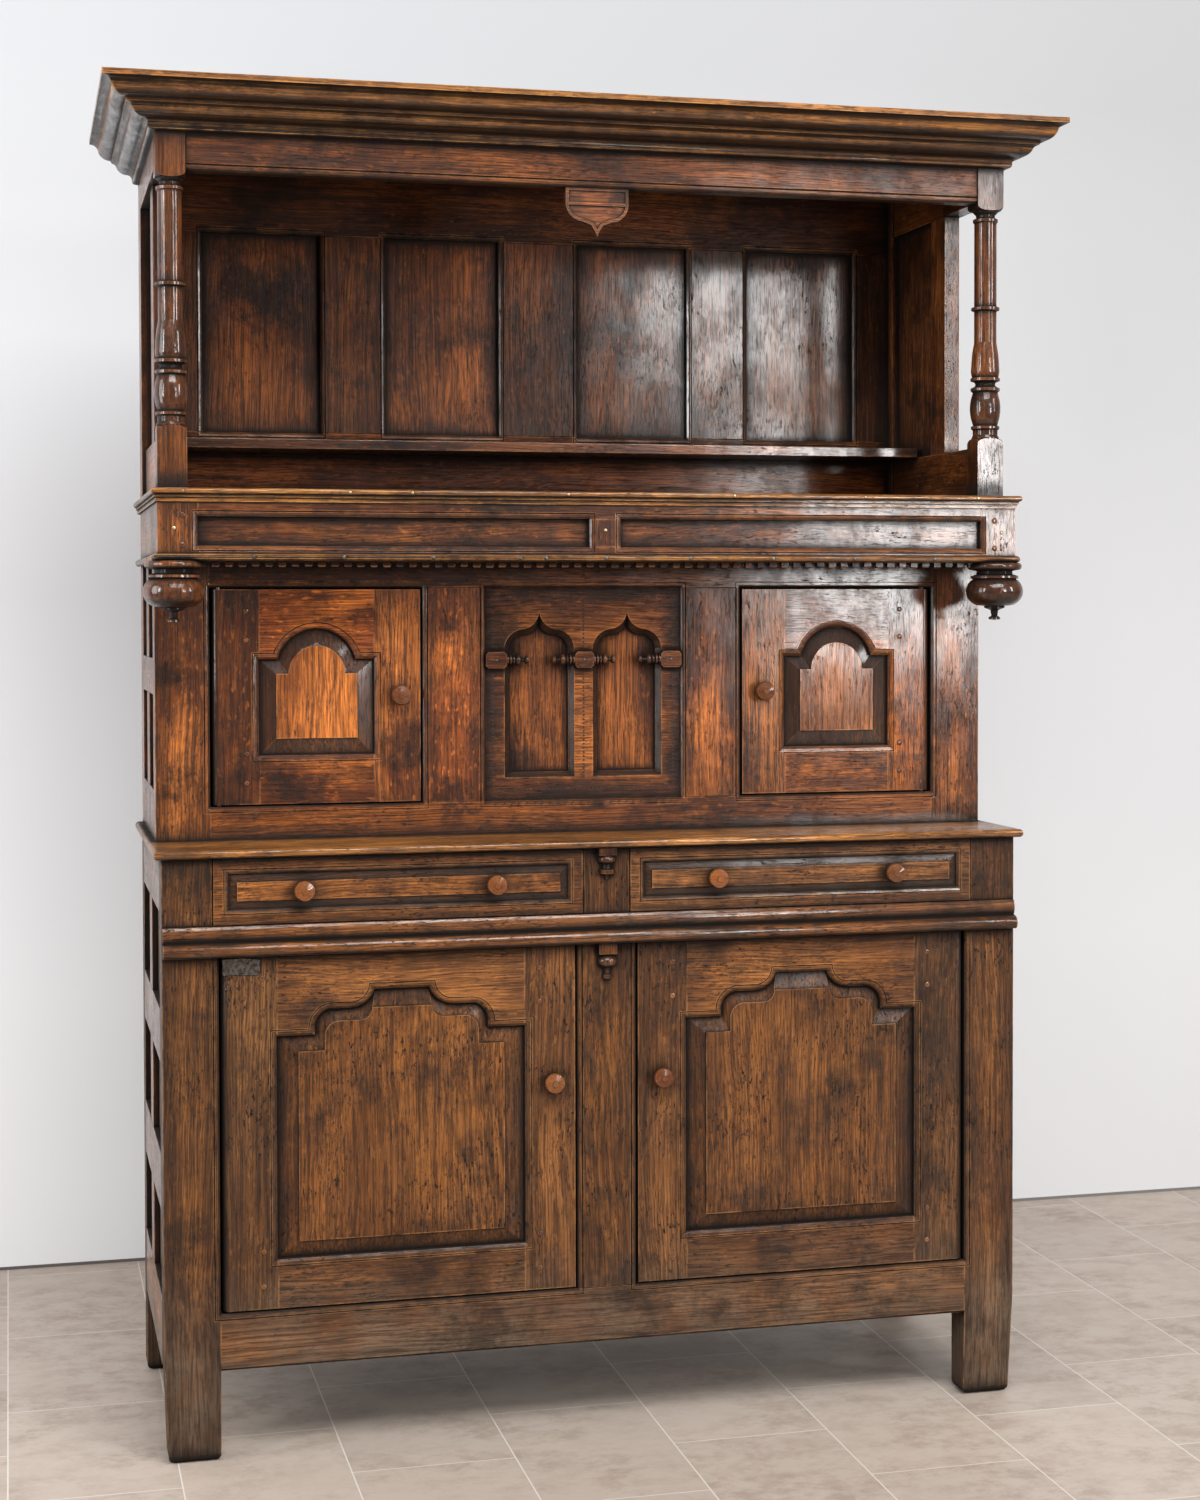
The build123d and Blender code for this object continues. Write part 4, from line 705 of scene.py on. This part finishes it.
def dress_frame():
    woods = (
        (BASE, base_oak), (WAXED, waxed_oak), (DRY, dry_oak), (RED, red_oak), (GOLDEN, golden_oak),
        (ARCADE, arcade_oak), (SHADED, shaded_oak),
    )
    for rows, finish in woods:
        for name, direction, lift, soot, bevels in rows:
            finish_node(name, finish, direction, lift=lift, soot=soot, bevels=bevels)
    for name, direction in TURNED:
        finish_node(name, turned_oak, direction, round_edges=0.0, soot=0.0)
    # the left back panels are lighter than the right for a patch of light that falls on them: painted light
    casts = {"left": (0.95, 0.1), "right": (0.55, 0.0)}
    finish_node("upper_back_panels", shaded_oak, "z", soot=0.85, bevels=0.8, casts=casts)
    # the back rails are darker, the top one most, for the shade under the canopy: painted shade; the bottom
    # rail is lifted back
    casts = {"bottom": (1.4, 0.4)}
    finish_node("upper_back_rails", arcade_oak, "x", lift=-0.9, soot=0.45, bevels=0.9, casts=casts)
    # the right muntin is darker and the left one lighter, against the sheen from the right: painted shade and
    # light
    casts = {"left": (0.3, 0.0), "right": (-0.4, 0.0)}
    finish_node("mid_front_muntins", red_oak, "z", lift=0.85, spread=0.0, soot=0.8, bevels=0.9, casts=casts)
    finish_node("hinge_pins", iron, "z", round_edges=0.0)


def dress_doors_and_drawers():
    # the right panels are a little darker than the left against the stronger light and sheen from the right:
    # painted shade
    for side, lift, low_lift in zip(SIDES, (0.4, 0.2), (-0.15, -0.35)):
        lower, upper, drawer = f"lower_door_{side}", f"upper_door_{side}", f"drawer_{side}"
        casts = dict(zip(DOOR_PARTS, DOOR_CASTS[lower]))
        finish_node(f"{lower}_frame", base_oak, lift=-0.2, spread=0.0, soot=0.30, bevels=0.6, casts=casts)
        finish_node(f"{lower}_panel", base_oak, "z", lift=low_lift, soot=0.75, bevels=0.32)
        casts = dict(zip(DOOR_PARTS, DOOR_CASTS[upper]))
        finish_node(f"{upper}_frame", red_oak, lift=0.5, spread=0.0, soot=0.25, bevels=0.7, casts=casts)
        finish_node(f"{upper}_panel", amber_oak, "z", lift=lift, soot=0.6, bevels=0.92)
        finish_node(f"{drawer}_front", waxed_oak, "x", lift=0.3, soot=0.45, bevels=0.92)
        finish_node(f"{drawer}_box", dry_oak)
        for knob in (f"{lower}_knob", f"{upper}_knob", f"{drawer}_knobs"):
            finish_node(knob, fruitwood, "y", round_edges=0.0, soot=0.0)


dress_frame()
dress_doors_and_drawers()


# ---------------------------------------------------------------- pegs, nails and small cut work
PEG_X = {"upper_door": (0.535,), "lower_door": (0.528, 0.106)}       # the stiles that are pegged
FRIEZE_PEG_X, FRIEZE_PEG_Z = 0.641, (1.408, 1.364)
FRIEZE_PIN_X, FRIEZE_PIN_Z = 0.653, 1.389
WAIST_PEG = (0.016, FRONT_Y - 0.0077, 0.768)
DECK_PIN_X = (-0.640, -0.394, -0.300, -0.060, 0.205, 0.420, 0.610)
BEAD_NAIL_STEP, ODD_NAIL_X = 0.13425, -0.095
BLOCK_NAIL_X, BLOCK_Z = 0.1433, 1.188          # the turned blocks that lie across the arcade
DOT_STEP, DOTS = 0.0065, 47
DOT_X, DOT_LOW, DOT_HIGH = 0.148, 0.982, 1.287
PATCH_WIDE, PATCH_TALL = 0.056, 0.025
# the outline of the metal patch, as shares of its width and height
PATCH_OUTLINE = (
    (0.0, 0.2), (0.04, 0.0), (0.25, 0.03), (0.5, -0.02), (0.75, 0.03), (0.95, 0.0), (1.0, 0.25),
    (0.98, 0.6), (1.0, 0.9), (0.8, 0.96), (0.5, 1.0), (0.2, 0.97), (0.0, 0.95), (0.02, 0.6),
)
PATCH_NAILS = (
    (0.006, 0.012), (0.020, 0.019), (0.034, 0.012), (0.048, 0.018), (0.005, -0.020), (0.014, -0.020),
)
NICKS, NICK_STEP, NICK_X, NICK_Z = 24, 0.0125, -0.144, 0.9605
TEETH, TOOTH_STEP, TOOTH_WIDE, TOOTH_DROP, TOOTH_DEEP = 65, 0.0197, 0.0058, 0.0085, 0.0035


def face_of(node):
    """The front of a node, as the y of its face."""
    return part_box(node)[0][1]


def add_piece(name, points, faces, finish, body, smooth=True):
    mesh = bpy.data.meshes.new(name)
    mesh.from_pydata(points, [], faces)
    mesh.validate()
    obj = bpy.data.objects.new(name, mesh)
    bpy.context.collection.objects.link(obj)
    mesh.materials.append(finish)
    for face in mesh.polygons:
        face.use_smooth = smooth
    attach(obj, body)
    return obj


def dome(points, faces, centre, radius, rise, sides=14):
    """A low dome that faces the front, standing on a point of a surface."""
    x, y, z = centre
    rings = ((1.0, -0.35), (0.97, 0.25), (0.82, 0.68), (0.50, 0.93))
    first = len(points)
    for share, height in rings:
        for k in range(sides):
            turn = math.tau * k / sides
            points.append((
                x + radius * share * math.cos(turn), y - rise * height, z + radius * share * math.sin(turn),
            ))
    points.append((x, y - rise, z))
    top = len(points) - 1
    for ring in range(len(rings) - 1):
        for k in range(sides):
            a = first + ring * sides + k
            b = first + ring * sides + (k + 1) % sides
            faces.append((a, b, b + sides, a + sides))
    last = first + (len(rings) - 1) * sides
    for k in range(sides):
        faces.append((last + k, last + (k + 1) % sides, top))
    faces.append(tuple(first + k for k in reversed(range(sides))))


def studs(name, places, radius, rise, finish, body="cupboard", grained=False):
    points, faces = [], []
    for centre in places:
        dome(points, faces, centre, radius, rise)
    obj = add_piece(name, points, faces, finish, body)
    if grained:
        set_grain(obj, "y", soot=0.0)


def pegs():
    """Oak pegs that stand a hair proud of the joints they hold."""
    kinds = (
        ("upper_door", (0.033, 0.078), 0.0042, 0.0009, "polished_oak"),
        ("lower_door", (0.034, 0.086), 0.0046, 0.0007, "worn_oak"),
    )
    for side, sign in zip(SIDES, (-1, 1)):
        for kind, (first, second), radius, rise, slot in kinds:
            door = f"{kind}_{side}"
            low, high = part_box(f"{door}_frame")
            heights = (high[2] - first, high[2] - second, low[2] + second, low[2] + first)
            places = [(sign * x, low[1], z) for x in PEG_X[kind] for z in heights]
            studs(f"{door}_pegs", places, radius, rise, turned_oak, door, grained=True)
    frieze = face_of("frieze_posts")
    places = [(sign * FRIEZE_PEG_X, frieze, z) for sign in (-1, 1) for z in FRIEZE_PEG_Z]
    studs("frieze_pegs", places, 0.0046, 0.0010, turned_oak, grained=True)
    places = [(sign * WAIST_PEG[0], *WAIST_PEG[1:]) for sign in (-1, 1)]
    studs("waist_pegs", places, 0.0048, 0.0012, turned_oak, grained=True)


def slab(points, faces, outline, back, front):
    """A thin plate that faces the front, with its outline in x and z."""
    first, count = len(points), len(outline)
    points.extend((x, y, z) for y in (back, front) for x, z in outline)
    faces.append(tuple(first + k for k in reversed(range(count))))
    faces.append(tuple(first + count + k for k in range(count)))
    for k in range(count):
        n = (k + 1) % count
        faces.append((first + k, first + n, first + count + n, first + count + k))


def tin_patch():
    """A thin metal plate nailed over the worn top corner of the left lower door."""
    low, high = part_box("lower_door_left_frame")
    face = low[1]
    chance = random.Random("patch")
    left, bottom = low[0] + 0.002, high[2] - 0.028
    outline = [
        (left + PATCH_WIDE * u, bottom + PATCH_TALL * (v + chance.uniform(-0.04, 0.04)))
        for u, v in PATCH_OUTLINE
    ]
    points, faces = [], []
    slab(points, faces, outline, face + 0.0003, face - 0.0009)
    add_piece("door_patch", points, faces, iron, "lower_door_left", smooth=False)
    # the two lowest nails are in the wood below the patch, the others stand on it
    places = [(left + x, face - (0.0008 if z > 0 else 0.0), bottom + z) for x, z in PATCH_NAILS]
    studs("door_patch_nails", places, 0.0016, 0.0010, iron, "lower_door_left")


def nails():
    """Brass pins along the frieze and the deck, dark nails along the canopy bead and in the arcade blocks."""
    frieze = face_of("frieze_posts")
    places = [(x, frieze, FRIEZE_PIN_Z) for x in (-FRIEZE_PIN_X, 0.0, FRIEZE_PIN_X)]
    studs("frieze_pins", places, 0.0028, 0.0011, brass)
    low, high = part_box("canopy_deck_boards")
    places = [(x, low[1] + 0.0002, high[2] - 0.0047) for x in DECK_PIN_X]
    studs("deck_pins", places, 0.0024, 0.0012, brass)
    low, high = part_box("canopy_bead")
    across = [BEAD_NAIL_STEP * k for k in range(-4, 5)] + [ODD_NAIL_X]
    places = [(x, low[1] + 0.0003, (low[2] + high[2]) / 2) for x in across]
    studs("bead_nails", places, 0.0032, 0.0010, iron)
    block = face_of("arcade_board") - 0.009
    places = [(x, block, BLOCK_Z) for x in (-BLOCK_NAIL_X, 0.0, BLOCK_NAIL_X)]
    studs("block_nails", places, 0.0026, 0.0010, iron)


def punched_dots():
    """Rows of punched dots down the sides and middle of the arcade and along its top and bottom."""
    face = face_of("arcade_board")
    across = [(-DOT_X + DOT_STEP * k, z) for k in range(DOTS) for z in (DOT_HIGH, DOT_LOW)]
    down = [(x, DOT_LOW + DOT_STEP * k) for k in range(1, DOTS) for x in (-DOT_X, 0.0, DOT_X)]
    # no dots under the turned blocks
    places = [(x, face, z) for x, z in across + down if abs(z - BLOCK_Z) > 0.018]
    studs("arcade_dots", places, 0.0016, 0.00025, packed_dirt_and_shade)


def sliver(points, faces, centre, length, width, tilt, rise=0.0003):
    """A thin pointed cut, lying on the front of a surface."""
    x, y, z = centre
    outline = []
    for u, v in ((-0.5, 0.0), (-0.2, -0.5), (0.3, -0.42), (0.5, 0.0), (0.2, 0.5), (-0.3, 0.42)):
        a, b = u * length, v * width
        outline.append((
            x + a * math.cos(tilt) - b * math.sin(tilt), z + a * math.sin(tilt) + b * math.cos(tilt),
        ))
    slab(points, faces, outline, y + 0.0002, y - rise)


def nicked_bead():
    """Small slanting cuts along the bead under the arcade."""
    chance = random.Random("nicks")
    points, faces = [], []
    face = face_of("mid_front_rails")
    for k in range(NICKS):
        x = NICK_X + NICK_STEP * k + chance.uniform(-0.001, 0.001)
        sliver(points, faces, (x, face, NICK_Z), 0.0065, 0.0014, math.radians(chance.uniform(48, 62)))
    add_piece("arcade_bead_nicks", points, faces, packed_dirt_and_shade, "cupboard", smooth=False)


def dentils():
    """A row of small teeth under the front of the canopy."""
    chance = random.Random("dentils")
    points, faces = [], []
    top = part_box("frieze_rails")[0][2]
    front = FRONT_Y + 0.019
    middle = TEETH // 2
    for k in range(-middle, middle + 1):
        x = TOOTH_STEP * k
        wide = TOOTH_WIDE + chance.uniform(-0.0004, 0.0004)
        drop = TOOTH_DROP + chance.uniform(-0.0008, 0.0004)
        # three rings of four corners: the top, the shoulder and the smaller foot
        corners = []
        for share, z in ((1.0, top), (1.0, top - drop * 0.75), (0.72, top - drop)):
            corners.append(len(points))
            for u, v in ((-1, -1), (1, -1), (1, 1), (-1, 1)):
                points.append((x + u * wide * share, front + TOOTH_DEEP + v * TOOTH_DEEP * share, z))
        faces.append(tuple(corners[0] + i for i in (0, 1, 2, 3)))
        faces.append(tuple(corners[2] + i for i in (3, 2, 1, 0)))
        for a, b in zip(corners, corners[1:]):
            for i in range(4):
                n = (i + 1) % 4
                faces.append((a + n, a + i, b + i, b + n))
    obj = add_piece("canopy_dentils", points, faces, red_oak, "cupboard", smooth=False)
    set_grain(obj, "x", soot=0.0)


pegs()
tin_patch()
nails()
punched_dots()
nicked_bead()
dentils()


# ---------------------------------------------------------------- studio
WALL_Y = 0.9125
REACH = 9.0                # how far the wall and the floor go on
WALL_TOP = 6
FOOT_TOP = 0.006           # the line of shadow between wall and floor
FOOT_COLOUR = (0.10, 0.09, 0.085)
TILE_WIDE, TILE_LONG = 0.2455, 0.395


def backdrop(name, made, corners):
    mesh = bpy.data.meshes.new(name)
    mesh.from_pydata(corners, [], [tuple(range(len(corners)))])
    obj = bpy.data.objects.new(name, mesh)
    bpy.context.collection.objects.link(obj)
    mesh.materials.append(made)


def seen_from_the_front_only(g, shader):
    """Keeps the back of the wall and the underside of the floor from hiding the cupboard."""
    either = g.add("ShaderNodeMixShader")
    g.feed(either.inputs[0], g.add("ShaderNodeNewGeometry").outputs["Backfacing"])
    g.feed(either.inputs[1], shader.outputs[0])
    g.feed(either.inputs[2], g.add("ShaderNodeBsdfTransparent").outputs[0])
    g.feed(g.tree.nodes["Material Output"].inputs["Surface"], either.outputs[0])


def floor_material():
    made, g, shader = material("stone floor")
    tiles = g.place(
        "tiles", stone_tiles, Point=g.spot(), Across=TILE_WIDE, Along=TILE_LONG,
        Stone=(0.46, 0.385, 0.325, 1.0), Vein=(0.35, 0.275, 0.225, 1.0), Joint=(0.66, 0.61, 0.56, 1.0),
    )
    g.feed(shader.inputs["Base Color"], tiles["Colour"])
    g.feed(shader.inputs["Roughness"], tiles["Roughness"])
    seen_from_the_front_only(g, shader)
    return made


def wall_material(name, low, high):
    """Paint that is a little darker towards the ceiling and to the right: painted shade and light that even
    out the lamps and the cupboard's shadow on the wall.
    """
    made, g, shader = material(name)
    point = g.spot()
    uneven = g.math("MULTIPLY_ADD", g.noise(point, 1.5, 3.0, 0.5), 0.3, g.split(point)["Z"])
    paint = g.mix(g.remap(uneven, 0.7, 2.5), (*low, 1.0), (*high, 1.0))
    aside = g.remap(g.split(point)["X"], -1.4, 1.4, 0.0, 0.42)
    g.feed(shader.inputs["Base Color"], g.mix(aside, paint, (0.30, 0.30, 0.30, 1.0)))
    shader.inputs["Roughness"].default_value = 0.9
    seen_from_the_front_only(g, shader)
    return made


def upright(y, top):
    return [(-REACH, y, 0), (REACH, y, 0), (REACH, y, top), (-REACH, y, top)]


backdrop(
    "floor", floor_material(),
    [(-REACH, -REACH, 0), (REACH, -REACH, 0), (REACH, WALL_Y, 0), (-REACH, WALL_Y, 0)],
)
paint = wall_material("painted wall", (0.94, 0.95, 0.98), (0.50, 0.51, 0.53))
backdrop("wall", paint, upright(WALL_Y, WALL_TOP))
shadow = wall_material("wall foot shadow", FOOT_COLOUR, FOOT_COLOUR)
backdrop("wall_foot", shadow, upright(WALL_Y - 0.001, FOOT_TOP))


def softbox(name, place, target, width, height, power, colour):
    data = bpy.data.lights.new(name, "AREA")
    data.shape = "RECTANGLE"
    data.size = width
    data.size_y = height
    data.energy = power
    data.color = colour
    obj = bpy.data.objects.new(name, data)
    obj.location = place
    obj.rotation_euler = (Vector(target) - Vector(place)).to_track_quat("-Z", "Y").to_euler()
    bpy.context.collection.objects.link(obj)


WARM, COOL, WHITE = (1.0, 0.99, 0.98), (0.98, 0.99, 1.0), (1.0, 1.0, 1.0)

# each row: the name, where it stands, where it points, its width, height, power in watts and colour
for light in (
    ("right window", (2.13, -4.2, 1.50), (0.4, 0.0, 1.3), 0.9, 0.8, 55, WARM),
    ("high window", (1.88, -4.2, 2.42), (0.3, 0.0, 1.7), 1.0, 0.6, 24, WARM),
    ("right lamp", (4.8, -3.4, 2.6), (0.0, 0.0, 1.2), 0.8, 2.6, 110, WARM),
    ("left lamp", (-5.2, -2.9, 2.4), (0.0, 0.0, 1.1), 0.8, 2.6, 120, COOL),
    ("side window", (-3.2, -0.6, 1.8), (-0.9, 0.9, 1.2), 1.2, 2.2, 46, WHITE),
    ("overhead", (0.1, -3.3, 4.5), (0.0, 0.0, 0.6), 3.6, 2.2, 262, WHITE),
):
    softbox(*light)


def surround(strength):
    world = bpy.data.worlds.new("studio")
    bpy.context.scene.world = world
    world.use_nodes = True
    background = world.node_tree.nodes["Background"]
    background.inputs["Color"].default_value = (0.92, 0.95, 1.0, 1.0)
    background.inputs["Strength"].default_value = strength


surround(0.07)
bpy.context.scene.view_settings.view_transform = "Standard"


# ---------------------------------------------------------------- camera
EYE = (-0.889, -3.553 + FRONT_Y, 1.269)
TURNS = (14.1479, 1.475, -0.1306)          # degrees to the right, down and round
SENSOR, LENS = 36.0, 57.23                 # millimetres
SHIFT_X, SHIFT_Y = -0.00677, -0.0533


def camera():
    """The camera stands left of the middle at about chest height and looks slightly down and to the right."""
    yaw, pitch, roll = (math.radians(a) for a in TURNS)
    ahead = Vector((math.sin(yaw) * math.cos(pitch), math.cos(yaw) * math.cos(pitch), -math.sin(pitch)))
    level = Vector((math.cos(yaw), -math.sin(yaw), 0.0))
    above = level.cross(ahead)
    right = level * math.cos(roll) + above * math.sin(roll)
    up = above * math.cos(roll) - level * math.sin(roll)
    data = bpy.data.cameras.new("camera")
    data.sensor_width = SENSOR
    data.lens = LENS
    data.shift_x = SHIFT_X
    data.shift_y = SHIFT_Y
    obj = bpy.data.objects.new("camera", data)
    turn = Matrix((right, up, -ahead)).transposed().to_4x4()
    obj.matrix_world = Matrix.Translation(EYE) @ turn
    bpy.context.collection.objects.link(obj)
    bpy.context.scene.camera = obj


camera()
